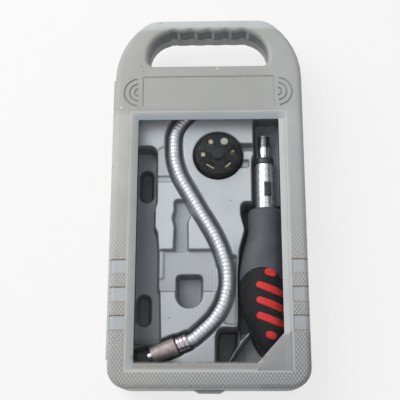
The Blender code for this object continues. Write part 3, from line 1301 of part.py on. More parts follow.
def main():
    clear_scene()
    grey = material("case_grey_plastic", (0.42, 0.44, 0.44), 0.55)
    tray_grey = material("tray_grey_plastic", (0.50, 0.53, 0.56), 0.5)
    clear = material("window_plastic", (0.92, 0.94, 0.95), 0.08, 0.0, 0.2)
    dark = material("handle_dark_plastic", (0.075, 0.083, 0.09), 0.45)
    rubber = material("grip_rubber", (0.018, 0.017, 0.019), 0.75)
    red = material("pad_red_rubber", (0.70, 0.035, 0.02), 0.5)
    chrome = material("barrel_chrome", (0.78, 0.79, 0.80), 0.14, 1.0)
    steel = material("bright_steel", (0.62, 0.62, 0.62), 0.28, 1.0)
    black = material("ring_black_plastic", (0.02, 0.02, 0.022), 0.4)
    hose = material("hose_chrome", (0.74, 0.74, 0.75), 0.22, 1.0)
    warm = material("collar_steel", (0.46, 0.41, 0.39), 0.32, 1.0)
    brass = material("bit_brass", (0.63, 0.53, 0.33), 0.3, 1.0)
    smoked = material("puck_smoked_plastic", (0.10, 0.11, 0.12), 0.1, 0.0, 0.45)
    puck_dark = material("puck_dark_plastic", (0.045, 0.048, 0.052), 0.45)

    middle_x = (HALF_WIDTH + HINGE_X - HINGE_KNUCKLE_RADIUS) / 2
    middle_y = (CASE_TOP_Y + CASE_BOTTOM_Y - STAND_LUG_REACH) / 2
    case = empty("case_frame", (-middle_x, -middle_y, 0))

    make_base_shell(grey, case)
    make_tool_tray(tray_grey, case)
    make_hinge_pin(steel, case)
    lid_axis = empty("lid_axis", (HINGE_X, 0, PARTING_Z), case)
    make_lid_shell(grey, lid_axis)
    make_window_pane(clear, lid_axis)
    hang(lid_axis)
    latch_axis = empty("latch_axis", (latch_pivot_x(), 0, LATCH_PIVOT_Z), case)
    make_latch(grey, latch_axis)

    make_handle_core(dark, case)
    make_grip_sleeve(rubber, case)
    for index, spec in enumerate(GRIP_PADS, 1):
        make_grip_pad(index, spec, red, case)
    make_ratchet_barrel(chrome, case)
    make_barrel_ring(black, case)
    spindle_axis = empty("spindle_axis", parent=case)
    lay_along(spindle_axis, (DRIVER_X, RING_FRONT_Y, DRIVER_Z), DRIVER_AXIS)
    make_spindle(steel, spindle_axis)
    make_ratchet_gear(steel, spindle_axis)
    make_bit_holder(chrome, spindle_axis)
    make_bit_magnet(steel, spindle_axis)
    selector_axis = empty("selector_axis", (DRIVER_X, SELECTOR_Y, DRIVER_Z), case)
    selector_axis.rotation_euler = (0, SELECTOR_TURN, 0)
    make_selector(black, selector_axis)
    make_pawl("pawl_left", -1, steel, selector_axis)
    make_pawl("pawl_right", 1, steel, selector_axis)

    make_flex_casing(hose, case)
    make_flex_core(steel, case)
    make_ferrule("ferrule_output", OUTPUT_MOUTH, (*end_direction(), 0), warm, case)
    make_socket_collar(warm, case)
    output_axis = empty("output_axis", parent=case)
    lay_along(output_axis, output_axis_place(), (*end_direction(), 0))
    make_output_socket(chrome, output_axis)
    make_ferrule("ferrule_input", INPUT_MOUTH, (1, 0, 0), warm, case)
    input_axis = empty("input_axis", parent=case)
    lay_along(input_axis, (INPUT_MOUTH[0] * MM + FERRULE_LENGTH, INPUT_MOUTH[1] * MM, SHAFT_Z), (1, 0, 0))
    make_input_shank(steel, input_axis)

    puck_seat = empty("puck_seat", (PUCK_X, PUCK_Y, PUCK_FLOOR_Z), case)
    make_puck_body(puck_dark, puck_seat)
    cover_axis = empty("cover_axis", (PUCK_X, PUCK_Y, PUCK_FLOOR_Z + PUCK_HEIGHT + PART_GAP), case)
    make_puck_cover(smoked, cover_axis)
    rivet = make_puck_rivet(black, puck_seat)
    rivet.location = (0, 0, PUCK_HEIGHT)
    for name, tip, angle, width in BITS:
        bit = make_bit(name, tip, width, brass, puck_seat)
        bit.location = (*pocket_place(angle), PUCK_BASE + PART_GAP)
        bit.rotation_euler = (0, 0, math.radians(angle + 90))      # blades lie along the circle


main()
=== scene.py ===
"""Looks of the ratchet driver kit: carved lid, soft tray, ribbed hose, turned metal, rubber grip."""
from math import atan2, copysign, cos, pi, radians, sin, sqrt, tan

import bmesh
import bpy
import numpy as np
from mathutils import Matrix, Vector


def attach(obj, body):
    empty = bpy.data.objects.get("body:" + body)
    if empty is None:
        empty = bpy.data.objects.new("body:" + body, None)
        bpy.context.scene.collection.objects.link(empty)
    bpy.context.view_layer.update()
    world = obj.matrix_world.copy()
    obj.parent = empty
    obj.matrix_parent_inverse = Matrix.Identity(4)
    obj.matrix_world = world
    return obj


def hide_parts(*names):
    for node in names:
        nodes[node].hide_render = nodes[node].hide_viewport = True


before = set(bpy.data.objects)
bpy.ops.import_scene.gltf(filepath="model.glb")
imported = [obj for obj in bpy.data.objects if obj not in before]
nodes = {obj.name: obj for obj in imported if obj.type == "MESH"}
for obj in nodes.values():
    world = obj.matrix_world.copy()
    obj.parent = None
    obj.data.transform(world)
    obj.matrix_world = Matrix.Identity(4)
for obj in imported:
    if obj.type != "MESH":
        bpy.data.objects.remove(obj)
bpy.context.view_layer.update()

MM = 0.001
SHIFT = Vector((1.6 * MM, -37.2 * MM, 0))      # from the case's own coordinates to the row frame


def at(x, y, z=0.0):
    """A point given in millimetres from the case's centre line and the window's centre."""
    return Vector((x * MM, y * MM, z * MM)) + SHIFT


# ---- Material helpers ----

def srgb(*levels):
    """A colour from its red, green and blue levels of 0 to 255."""
    return (*(((c / 255 + 0.055) / 1.055) ** 2.4 if c > 10 else c / 255 / 12.92 for c in levels), 1.0)


class Nodes:
    """Short calls for the nodes of one tree."""

    def __init__(self, tree):
        self.tree = tree

    def node(self, kind, **settings):
        made = self.tree.nodes.new(kind)
        for key, value in settings.items():
            setattr(made, key, value)
        return made

    def put(self, socket, value):
        if isinstance(value, bpy.types.NodeSocket):
            self.tree.links.new(value, socket)
        elif value is not None:
            socket.default_value = value

    def parts(self, vector):
        split = self.node("ShaderNodeSeparateXYZ")
        self.put(split.inputs[0], vector)
        return split.outputs

    def math(self, operation, a, b=None, clamp=False):
        made = self.node("ShaderNodeMath", operation=operation, use_clamp=clamp)
        self.put(made.inputs[0], a)
        self.put(made.inputs[1], b)
        return made.outputs[0]

    def product(self, *factors):
        result = factors[0]
        for factor in factors[1:]:
            result = self.math("MULTIPLY", result, factor)
        return result

    def step(self, value, low, high, out_low=0.0, out_high=1.0):
        made = self.node("ShaderNodeMapRange", interpolation_type="SMOOTHSTEP")
        for name, number in (("Value", value), ("From Min", low), ("From Max", high), ("To Min", out_low),
                             ("To Max", out_high)):
            self.put(made.inputs[name], number)
        return made.outputs["Result"]

    def line(self, value, centre, half_width, soft=0.25):
        """1 within half_width of centre, fading out over soft."""
        away = self.math("ABSOLUTE", self.math("SUBTRACT", value, centre))
        return self.step(away, half_width + soft, half_width)

    def studio_rays(self):
        """1 for rays from the camera, off a mirror or through glass; these see the plain white studio."""
        path = self.node("ShaderNodeLightPath").outputs
        both = self.math("ADD", path["Is Camera Ray"], path["Is Glossy Ray"], clamp=True)
        return self.math("ADD", both, path["Is Transmission Ray"], clamp=True)


class Shade(Nodes):
    """A material being built. Lengths are in millimetres."""

    def __init__(self, name, roughness=0.5, metallic=0.0):
        self.material = bpy.data.materials.new(name)
        self.material.use_nodes = True
        super().__init__(self.material.node_tree)
        self.shader = self.tree.nodes["Principled BSDF"]
        self.set("Roughness", roughness)
        self.set("Metallic", metallic)
        self.place = None
        self.base = None

    def set(self, name, value):
        self.put(self.shader.inputs[name], value)

    def surface(self, colour, rough, specular=None):
        for name, value in (("Base Color", colour), ("Roughness", rough), ("Specular IOR Level", specular)):
            self.set(name, value)

    def where(self):
        """Place on the object, in millimetres in the case's coordinates."""
        if self.place is None:
            moved = self.node("ShaderNodeVectorMath", operation="SUBTRACT")
            self.put(moved.inputs[0], self.node("ShaderNodeTexCoord").outputs["Object"])
            self.put(moved.inputs[1], tuple(SHIFT))
            scale = self.node("ShaderNodeVectorMath", operation="SCALE")
            self.put(scale.inputs[0], moved.outputs[0])
            self.put(scale.inputs["Scale"], 1.0 / MM)
            self.place = scale.outputs[0]
        return self.place

    def xyz(self):
        return self.parts(self.where())

    def noise(self, scale, detail=3.0, rough=0.5, stretch=None):
        made = self.node("ShaderNodeTexNoise")
        source = self.where()
        if stretch:
            times = self.node("ShaderNodeVectorMath", operation="MULTIPLY")
            self.put(times.inputs[0], source)
            self.put(times.inputs[1], stretch)
            source = times.outputs[0]
        for name, value in (("Vector", source), ("Scale", scale), ("Detail", detail), ("Roughness", rough)):
            self.put(made.inputs[name], value)
        return made.outputs["Fac"]

    def vary(self, low, high, scale, detail=3.0, rough=0.5, stretch=None):
        """A value that drifts from low to high with a noise."""
        return self.step(self.noise(scale, detail, rough, stretch), 0.3, 0.7, low, high)

    def mix(self, factor, a, b):
        made = self.node("ShaderNodeMix", data_type="RGBA")
        for index, value in ((0, factor), (6, a), (7, b)):
            self.put(made.inputs[index], value)
        return made.outputs[2]

    def tint(self, rgb, *factors):
        """Lay a colour over the base colour, by the product of the factors."""
        self.base = self.mix(self.product(*factors), self.base, srgb(*rgb))

    def bump(self, height, distance_mm, strength=1.0, after=None):
        made = self.node("ShaderNodeBump")
        for name, value in (("Strength", strength), ("Distance", distance_mm * MM), ("Height", height),
                            ("Normal", after)):
            self.put(made.inputs[name], value)
        self.set("Normal", made.outputs[0])
        return made.outputs[0]

    def distance(self, point):
        made = self.node("ShaderNodeVectorMath", operation="DISTANCE")
        self.put(made.inputs[0], self.where())
        self.put(made.inputs[1], point)
        return made.outputs["Value"]

    def ramp(self, value, stops, top=50.0):
        """Colour by value: (value, colour) stops over 0 to top."""
        made = self.node("ShaderNodeValToRGB")
        self.put(made.inputs[0], self.math("DIVIDE", value, top))
        elements = made.color_ramp.elements
        while len(elements) < len(stops):
            elements.new(0.5)
        for element, (place, colour) in zip(elements, stops):
            element.position = place / top
            element.color = srgb(*colour)
        return made.outputs[0]

    def facing(self, blend):
        made = self.node("ShaderNodeLayerWeight")
        self.put(made.inputs["Blend"], blend)
        return made.outputs["Facing"]


# ---- Materials ----

RIB_BANDS = ((-32.6, -20.6), (-56.3, -44.0), (-79.8, -67.8))
RIB_INNER_X = 70.0
BEVEL_X, BEVEL_Y = 68.7, 113.0      # outer edge of the bevel round the window
PLATE_X, PLATE_Y, PLATE_HALF = 58.5, 132.4, 14.5
SCALLOP_PITCH = 15.9
HATCH_PITCH, HATCH_SLANT = 3.0, 0.72
SPECKS = (                     # x, y, half size in millimetres, darkness
    (-59.9, 157.2, 0.75, 0.85), (-58.4, 152.3, 0.6, 0.75), (-43.3, 200.7, 0.6, 0.8), (52.7, 183.1, 0.5, 0.7),
    (47.3, 187.2, 0.45, 0.6), (28.6, 148.7, 0.6, 0.7), (-14.1, -124.8, 0.5, 0.85), (-56.3, -114.5, 0.5, 0.8),
    (68.0, -113.1, 0.5, 0.8),
)
CHIPS = ((-77.8, 117.5), (8.4, 154.4))


def grey_wear_and_painted_light(s, x, y, z, aside):
    """Grey of the moulding with painted light and shade: lighter to the left, darker to the lower right, the
    bevel round the window painted lit and shaded, a painted highlight on its crest, painted shade on its lip;
    and cloudy tones.
    """
    # painted light: lighter and warmer towards the left, where the light comes from
    s.base = s.mix(s.step(x, -78.0, 30.0), srgb(184, 184, 179), srgb(178, 180, 179))
    # painted shade: darker towards the bottom, most on the right
    s.tint((140, 142, 146), s.step(y, -20.0, -125.0), s.step(x, -90.0, 60.0, 0.35, 1.0), 0.55)
    # darker across the band from the window up to the hand opening, most in the middle
    s.tint((164, 164, 160), s.step(y, 108.0, 116.0), s.step(y, 197.0, 190.0),
           s.step(x, 75.0, 40.0, 0.25, 0.85))
    # painted light: lighter along the lid's top above the hand opening
    s.tint((204, 206, 207), s.step(y, 192.0, 197.0, 0.0, 0.6))
    sloped = s.step(z, 47.7, 46.9)
    # painted shade on the bevel below the window
    s.tint((138, 138, 134), s.line(y, -110.0, 3.2, 0.8), s.line(x, -4.0, 60.0), sloped, 0.8)
    # painted light and shade on the side bevels: the left one shaded, the right one lit
    sides = s.mix(s.step(x, -1.0, 1.0), srgb(168, 173, 176), srgb(196, 198, 197))
    s.base = s.mix(s.product(s.line(aside, 65.6, 3.6), s.line(y, 0.0, 112.0), sloped, 0.6), s.base, sides)
    # painted shade, bluish, on the bevel above the window
    s.tint((158, 166, 175), s.line(y, 110.0, 3.6), s.line(x, 0.0, 68.0), sloped, 0.8)
    # painted highlight along the bevel's outer crest
    crest = s.math("MAXIMUM", s.product(s.line(aside, BEVEL_X, 0.35, 0.45), s.line(y, 0.0, BEVEL_Y)),
                   s.product(s.line(s.math("ABSOLUTE", y), BEVEL_Y, 0.35, 0.45), s.line(x, 0.0, BEVEL_X)))
    s.tint((214, 215, 212), crest, s.step(z, 46.5, 47.6), 0.45)
    # painted shade on the window frame's inner walls
    s.tint((92, 94, 94), s.step(z, 44.3, 43.7), s.line(aside, 0.0, 64.0), s.line(y, 0.0, 108.5), 0.6)
    # painted shade on the flat triangle at the window's cut corner
    s.tint((134, 135, 137), s.step(x, 40.0, 46.0), s.step(y, -80.0, -85.0), s.step(z, 47.95, 47.4), 0.8)
    s.tint((160, 163, 164), s.step(s.noise(0.028, 4.0, 0.6), 0.38, 0.72, 0.0, 0.3))
    s.tint((150, 146, 136), s.step(s.noise(0.09, 5.0, 0.65), 0.56, 0.78, 0.0, 0.3))


def lid_marks(s, x, y, z, aside):
    """What only the lid has: hatch, rib panels, brown dust with painted shade at the panels' upper ends,
    grooves with painted shade, painted shade and highlights in the opening, specks, chips.
    """
    top_face = s.step(z, 44.0, 46.5)
    slant = s.product(y, HATCH_SLANT)
    lines = s.math("MAXIMUM", *(s.math("SINE", s.product(s.math(way, x, slant), 2 * pi / HATCH_PITCH))
                                for way in ("ADD", "SUBTRACT")))
    border = s.math("MAXIMUM", s.step(aside, RIB_INNER_X - 0.4, RIB_INNER_X + 0.6), s.step(y, -113.6, -114.6))
    ribs = ends = 0.0
    for low, high in RIB_BANDS:
        ribs = s.math("MAXIMUM", ribs, s.line(y, (low + high) / 2, (high - low) / 2, 0.1))
        # brown dirt lines at both ends of each panel; the upper end's is darker, painted shade under its step
        for end, shade in ((low, 0.4), (high, 1.0)):
            ends = s.math("MAXIMUM", ends, s.product(s.line(y, end, 0.4, 0.6), shade))
    on_panel = s.product(s.line(aside, 76.9, 7.0, 0.4), s.step(z, 41.0, 43.5))
    ribs = s.product(ribs, on_panel)
    ends = s.product(ends, on_panel, s.step(s.noise(0.35), 0.25, 0.6, 0.55, 1.0))
    s.tint((172, 179, 186), ribs, s.step(x, 20.0, -20.0, 0.2, 0.5))
    strength = s.product(border, s.step(y, 100.0, -70.0, 0.1, 1.0), s.math("SUBTRACT", 1.0, ribs), top_face)
    marks = s.product(s.step(lines, 0.45, 0.95), strength)
    s.tint((122, 122, 120), marks, 0.45)
    s.tint((206, 205, 202), s.step(lines, 0.3, -0.3), strength, 0.35)
    s.tint((112, 98, 80), ends, 0.7)
    # brown dust along the frame's lower lip and in the plate's edges
    s.tint((126, 108, 82), s.line(y, -101.8, 1.4, 1.2), s.line(x, -4.0, 62.0), s.step(z, 46.8, 44.4), 0.7)
    plate_edge = s.math("MAXIMUM",
                        s.product(s.line(aside, PLATE_X, 0.3, 0.7), s.line(y, PLATE_Y, PLATE_HALF)),
                        s.product(s.line(y, PLATE_Y + PLATE_HALF, 0.3, 0.7), s.line(x, 0.0, PLATE_X - 0.5)))
    s.tint((124, 120, 106), plate_edge, 0.3)
    # painted shade in the half-ring grooves
    s.tint((122, 120, 112), s.line(aside, 68.0, 8.2), s.line(y, 132.0, 16.0), s.line(z, 47.4, 0.35, 0.15),
           0.5)
    # painted shade on the hand opening's walls
    hollow = s.product(s.step(z, 45.6, 41.5), s.line(y, 176.0, 19.5, 0.6), s.line(x, 0.0, 56.5, 0.6))
    s.tint((82, 88, 94), hollow, 0.8)
    # painted highlights on the scallops, on their sides facing the light
    wave = s.math("COSINE", s.product(s.math("SUBTRACT", x, 4.4), 2 * pi / SCALLOP_PITCH))
    s.tint((190, 196, 202), hollow, s.step(wave, 0.8, 0.98), s.step(y, 186.0, 190.0), s.line(x, 4.0, 40.0),
           0.75)
    for px, py, size, dark in SPECKS:
        s.tint((70, 62, 58), s.line(x, px, size * 0.5, size * 0.6), s.line(y, py, size * 0.5, size * 0.6),
               top_face, dark)
    for px, py in CHIPS:
        s.tint((232, 232, 228), s.line(x, px, 0.35, 0.5), s.line(y, py, 0.6, 0.5), top_face, 0.8)
    return marks


def case_plastic(name="case_plastic", lid=True):
    """Moulded grey plastic with painted light and shade, cloudy wear and scuffs, and on the lid its hatch,
    dirt, specks and more painted shade and highlights.
    """
    s = Shade(name, 0.5)
    x, y, z = s.xyz()
    aside = s.math("ABSOLUTE", x)
    grey_wear_and_painted_light(s, x, y, z, aside)
    marks = lid_marks(s, x, y, z, aside) if lid else None
    s.tint((200, 200, 197), s.step(s.noise(0.5, 4.0, 0.7, (1.0, 0.35, 1.0)), 0.62, 0.75, 0.0, 0.22))
    s.surface(s.base, s.vary(0.42, 0.6, 0.4), 0.4)
    normal = s.bump(marks, 0.32, 0.9) if lid else None
    s.bump(s.noise(2.2, 4.0, 0.65), 0.05, 0.45, normal)
    return s


def tray_plastic():
    """The tray's grey, with painted shade making it darker with depth, on its walls and towards the bottom.
    """
    s = Shade("tray_plastic", 0.42)
    x, y, z = s.xyz()
    # painted shade: colour by height, darker in the deep pockets
    s.base = s.ramp(z, ((4.0, (60, 64, 68)), (8.0, (72, 76, 80)), (14.0, (150, 155, 160)),
                        (20.0, (122, 127, 132)), (23.2, (128, 134, 140)), (25.0, (164, 169, 173)),
                        (27.2, (184, 188, 194)), (30.0, (190, 195, 199)), (31.9, (204, 209, 213))))
    # painted shade on the tray's walls
    upright = s.parts(s.node("ShaderNodeNewGeometry").outputs["Normal"])[2]
    s.tint((84, 89, 94), s.step(upright, 0.93, 0.45), 0.72)
    # painted shade: darker towards the bottom, most on the right
    s.tint((122, 122, 126), s.step(y, 10.0, -110.0), s.step(x, -40.0, 30.0, 0.6, 1.0), 0.5)
    # painted shade in the tray's lower left corner
    s.tint((26, 26, 28), s.step(y, -80.0, -94.0), s.step(x, -20.0, -34.0), 0.85)
    # painted shadow of the handle beside its left edge
    s.tint((70, 72, 76), s.line(x, 26.0, 4.0, 2.0), s.step(y, 5.0, -25.0), 0.5)
    # painted shade in the deep recess by the handle's butt
    s.tint((16, 17, 19), s.line(x, 15.5, 8.6), s.step(y, -76.0, -78.0), s.step(z, 12.0, 8.0), 0.95)
    s.tint((150, 153, 158), s.step(s.noise(0.02, 3.0, 0.6), 0.4, 0.75, 0.0, 0.25))
    s.tint((206, 206, 202), s.step(s.noise(0.9, 5.0, 0.75), 0.66, 0.76, 0.0, 0.35))
    # painted shade standing in for two small notches
    for px, py in ((19.1, 35.1), (-33.9, -67.9)):
        s.tint((58, 54, 52), s.step(s.distance((px, py, 32.0)), 0.85, 0.35), 0.85)
    s.surface(s.base, s.vary(0.36, 0.52, 0.3), 0.4)
    s.bump(s.noise(1.2, 4.0, 0.6), 0.06, 0.4)
    return s


def window_plastic():
    """Clear sheet: unseen from the front, with a sheen at a slant and dust along its lower lip."""
    s = Shade("window_plastic", 0.05)
    y = s.xyz()[1]
    dust = s.product(s.line(y, -106.2, 0.5, 1.0), s.step(s.noise(0.25, 4.0, 0.7), 0.35, 0.65, 0.25, 1.0))
    s.surface(s.mix(dust, srgb(150, 158, 164), srgb(118, 102, 80)), s.vary(0.03, 0.12, 0.05))
    sheen = s.step(s.facing(0.5), 0.35, 1.0, 0.012, 0.5)
    smear = s.step(s.noise(0.03, 4.0, 0.7, (1.0, 0.4, 1.0)), 0.55, 0.8, 0.0, 0.025)
    s.set("Alpha", s.math("ADD", sheen, s.math("ADD", smear, s.product(dust, 0.45)), clamp=True))
    return s


def dark_plastic():
    """Hard body of the driver: satin plastic with a fine swirl and scuffs."""
    s = Shade("dark_plastic", 0.4)
    s.base = s.mix(s.step(s.noise(0.05, 4.0, 0.6), 0.3, 0.75), srgb(72, 76, 81), srgb(86, 90, 95))
    s.tint((120, 124, 128), s.step(s.noise(0.5, 5.0, 0.75, (1.0, 0.12, 1.0)), 0.64, 0.72, 0.0, 0.3))
    s.surface(s.base, s.vary(0.52, 0.64, 0.8), 0.4)
    s.bump(s.noise(3.0), 0.04, 0.3)
    return s


def rubber(name, tone, worn, roughness, specular):
    """Soft-touch rubber with a matt grain and slightly rubbed patches."""
    s = Shade(name, roughness)
    s.surface(s.mix(s.step(s.noise(0.25, 4.0, 0.6), 0.35, 0.7), srgb(*tone), srgb(*worn)),
              s.vary(roughness - 0.08, roughness + 0.1, 1.5), specular)
    s.bump(s.noise(2.5, 4.0, 0.7), 0.08, 0.45)
    return s


def metal(name, tint, low, high, brushed=(1.0, 1.0, 1.0), grain=0.02, metallic=1.0):
    """Bare or plated metal: tone drifts, polish varies, and fine marks run across brushed."""
    s = Shade(name, 0.3, metallic)
    dimmer = srgb(*(int(c * 0.86) for c in tint))
    s.surface(s.mix(s.vary(0.0, 1.0, 0.35, 4.0, 0.6), srgb(*tint), dimmer),
              s.vary(low, high, 1.4, 5.0, 0.7, brushed))
    s.bump(s.noise(3.0, 4.0, 0.7, brushed), grain, 0.3)
    return s


def nose_metal():
    """Bit holder: bright plating behind, a darkened sleeve on its front half, and a painted glint on its
    tip's rim.
    """
    s = Shade("nose_chrome", 0.2, 1.0)
    y = s.xyz()[1]
    # the tip's front rim is painted bright: a painted glint
    front, tip = s.step(y, 86.2, 86.6), s.step(y, 96.0, 96.4)
    wear = s.step(s.noise(0.6, 4.0, 0.7), 0.35, 0.7)
    dark = s.mix(wear, srgb(92, 94, 98), srgb(122, 124, 128))
    bright = s.mix(wear, srgb(226, 226, 228), srgb(200, 201, 204))
    s.surface(s.mix(tip, s.mix(front, bright, dark), srgb(214, 215, 218)),
              s.math("ADD", s.product(front, 0.14), s.vary(0.14, 0.24, 1.4, 4.0)))
    s.bump(s.noise(3.0, 4.0, 0.7, (1.0, 3.0, 1.0)), 0.02, 0.3)
    return s


def plain_plastic(name, roughness, drift, tone, worn, low, high, grain, specular=0.5):
    """Hard plastic of two close tones."""
    s = Shade(name, roughness)
    s.surface(s.mix(s.vary(0.0, 1.0, drift), srgb(*tone), srgb(*worn)), s.vary(low, high, 1.2), specular)
    s.bump(s.noise(grain), 0.04, 0.3)
    return s


def smoked_plastic():
    """The holder's see-through lid, thin enough for the bits' tips to glint through."""
    s = Shade("smoked_plastic", 0.08)
    s.surface(s.mix(s.vary(0.0, 1.0, 0.1), srgb(18, 20, 21), srgb(28, 30, 30)), s.vary(0.06, 0.16, 0.6))
    rim = s.step(s.facing(0.5), 0.2, 0.9, 0.0, 0.35)
    smear = s.step(s.noise(0.15, 4.0, 0.7), 0.35, 0.75, 0.16, 0.26)
    s.set("Alpha", s.math("ADD", smear, rim, clamp=True))
    return s


finishes = {
    "case": case_plastic(), "shell": case_plastic("case_plastic_lower", False), "tray": tray_plastic(),
    "window": window_plastic(), "dark": dark_plastic(),
    "grip": rubber("grip_rubber", (20, 19, 21), (26, 25, 27), 0.66, 0.22),
    "pad": rubber("pad_rubber", (226, 48, 42), (210, 44, 40), 0.46, 0.35),
    "chrome": metal("barrel_chrome", (230, 232, 234), 0.22, 0.32, (1.0, 0.2, 1.0), metallic=0.7),
    "nose": nose_metal(),
    "steel": metal("bright_steel", (198, 199, 201), 0.2, 0.36),
    "warm": metal("collar_steel", (176, 165, 164), 0.58, 0.7, (0.6, 2.0, 1.0), 0.03),
    "crimp": metal("crimp_steel", (196, 188, 190), 0.16, 0.26),
    "bright": metal("ferrule_steel", (204, 199, 201), 0.2, 0.32),
    "hose": metal("hose_chrome", (232, 234, 238), 0.4, 0.5, metallic=0.6),
    "brass": metal("bit_brass", (255, 244, 205), 0.3, 0.42, metallic=0.4),
    "black": plain_plastic("black_plastic", 0.42, 0.6, (44, 46, 49), (58, 60, 64), 0.34, 0.48, 3.0),
    "smoked": smoked_plastic(),
    "holder": plain_plastic("holder_plastic", 0.4, 0.5, (24, 26, 27), (36, 38, 38), 0.34, 0.5, 2.0, 0.25),
    "pale": plain_plastic("pale_plastic", 0.45, 0.8, (186, 186, 182), (168, 167, 162), 0.4, 0.55, 2.0),
}
for finish, names in {
    "shell": "base_shell latch", "case": "lid_shell", "tray": "tool_tray", "window": "window_pane",
    "dark": "handle_core", "grip": "grip_sleeve", "chrome": "ratchet_barrel output_socket",
    "pad": "grip_pad_1 grip_pad_2 grip_pad_3 grip_pad_4 grip_pad_5", "nose": "bit_holder",
    "black": "barrel_ring selector puck_rivet", "hose": "flex_casing", "warm": "socket_collar",
    "steel": "hinge_pin pawl_left pawl_right ratchet_gear spindle bit_magnet flex_core input_shank",
    "bright": "ferrule_output ferrule_input", "holder": "puck_body", "smoked": "puck_cover",
    "brass": "bit_phillips bit_hex_key bit_square bit_slotted_large bit_slotted_small",
}.items():
    for name in names.split():
        nodes[name].data.materials.clear()
        nodes[name].data.materials.append(finishes[finish].material)


# ---- Modelling helpers ----

def dress(made, finish, body, slot, *replaced):
    """Give a piece its finish and its body, and hide the nodes it stands for; the slot is not used."""
    made.data.materials.clear()
    made.data.materials.append(finishes[finish].material)
    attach(made, body)
    if replaced:
        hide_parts(*replaced)
    return made


def link(name, data):
    """A new object of the scene."""
    made = bpy.data.objects.new(name, data)
    bpy.context.scene.collection.objects.link(made)
    return made


def applied(made, sharp):
    """The object with its modifiers turned into its mesh, smooth but for its sharp edges."""
    seen = made.evaluated_get(bpy.context.evaluated_depsgraph_get())
    made_mesh = bpy.data.meshes.new_from_object(seen)
    made.modifiers.clear()
    made.data = made_mesh
    made_mesh.shade_smooth()
    made_mesh.set_sharp_from_angle(angle=radians(sharp))
    return made


def raw_mesh(name, vertices, faces, sharp=None):
    mesh = bpy.data.meshes.new(name)
    mesh.from_pydata([tuple(v) for v in vertices], [], faces)
    bm = bmesh.new()
    bm.from_mesh(mesh)
    bmesh.ops.recalc_face_normals(bm, faces=bm.faces)
    bm.to_mesh(mesh)
    bm.free()
    mesh.shade_smooth()
    if sharp:
        mesh.set_sharp_from_angle(angle=radians(sharp))
    return link(name, mesh)


def skin(rings, capped=True):
    """Vertices and faces that join closed rings of as many points each."""
    count = len(rings[0])
    vertices = [point for ring in rings for point in ring]
    faces = []
    for i in range(len(rings) - 1):
        for k in range(count):
            j = (k + 1) % count
            faces.append((i * count + k, i * count + j, (i + 1) * count + j, (i + 1) * count + k))
    if capped:
        faces.append(tuple(range(count)))
        faces.append(tuple((len(rings) - 1) * count + k for k in range(count)))
    return vertices, faces


def solidify(name, *parts):
    """One mesh object of several closed skins."""
    vertices, faces = [], []
    for more, theirs in parts:
        base = len(vertices)
        vertices += more
        faces += [tuple(base + k for k in face) for face in theirs]
    return raw_mesh(name, vertices, faces)


def carved(source, name, tools, sharp=30.0):
    """A new object: the source's mesh, welded, with the tools cut out of it."""
    mesh = source.data.copy()
    bm = bmesh.new()
    bm.from_mesh(mesh)
    bmesh.ops.remove_doubles(bm, verts=bm.verts, dist=1e-6)
    bm.to_mesh(mesh)
    bm.free()
    if "custom_normal" in mesh.attributes:
        mesh.attributes.remove(mesh.attributes["custom_normal"])
    made = link(name, mesh)
    for tool in tools:
        change = made.modifiers.new(tool.name, "BOOLEAN")
        change.operation = "DIFFERENCE"
        change.solver = "EXACT"
        change.object = tool
    applied(made, sharp).data.name = name
    for tool in tools:
        bpy.data.objects.remove(tool)
    return made


SOFT_ANGLE = 40      # degrees; sharper edges are rounded off and kept crisp


def softened(node, name, width_mm, finish, body, slot):
    """A copy of a node with its edges rounded off, in the node's place."""
    made = carved(nodes[node], name, [])
    edge = made.modifiers.new("edges", "BEVEL")
    edge.width = width_mm * MM
    edge.segments = 2
    edge.limit_method = "ANGLE"
    edge.angle_limit = radians(SOFT_ANGLE)
    edge.use_clamp_overlap = True
    return dress(applied(made, SOFT_ANGLE), finish, body, slot, node)


def fillet(profile, radius, steps=3):
    """Round the inner corners of an open profile of (radius, length) points."""
    result = [profile[0]]
    for before, here, after in zip(profile, profile[1:], profile[2:]):
        a, b, c = (np.array(p, float) for p in (before, here, after))
        reach = min(radius, 0.45 * np.linalg.norm(a - b), 0.45 * np.linalg.norm(c - b))
        start = b + (a - b) / np.linalg.norm(a - b) * reach
        end = b + (c - b) / np.linalg.norm(c - b) * reach
        for k in range(steps + 1):
            t = k / steps
            result.append(tuple((1 - t) ** 2 * start + 2 * t * (1 - t) * b + t ** 2 * end))
    return result + [profile[-1]]


def lathe(name, profile, origin, direction, sides=72, hex_from=None):
    """Turn a profile of (radius, length) about an axis; from hex_from on, its rings are hexagons."""
    axis = Vector(direction).normalized()
    side = Vector((0, 0, 1)).cross(axis).normalized() if abs(axis.z) < 0.9 else Vector((1, 0, 0))
    up = axis.cross(side)
    vertices, faces, rings = [], [], []
    for i, (radius, length) in enumerate(profile):
        centre = Vector(origin) + axis * length * MM
        if radius < 1e-6:
            rings.append([len(vertices)])
            vertices.append(centre)
            continue
        ring = []
        for k in range(sides):
            angle = 2 * pi * k / sides
            reach = radius
            if hex_from is not None and i >= hex_from:
                reach = radius / cos((angle % (pi / 3)) - pi / 6)
            ring.append(len(vertices))
            vertices.append(centre + (side * cos(angle) + up * sin(angle)) * reach * MM)
        rings.append(ring)
    pairs = list(zip(rings, rings[1:]))
    if len(rings[0]) > 1 and len(rings[-1]) > 1:
        pairs.append((rings[-1], rings[0]))
    for low, high in pairs:
        for k in range(sides):
            j = (k + 1) % sides
            if len(low) == 1:
                faces.append((low[0], high[j], high[k]))
            elif len(high) == 1:
                faces.append((low[k], low[j], high[0]))
            else:
                faces.append((low[k], low[j], high[j], high[k]))
    return raw_mesh(name, vertices, faces, 32)


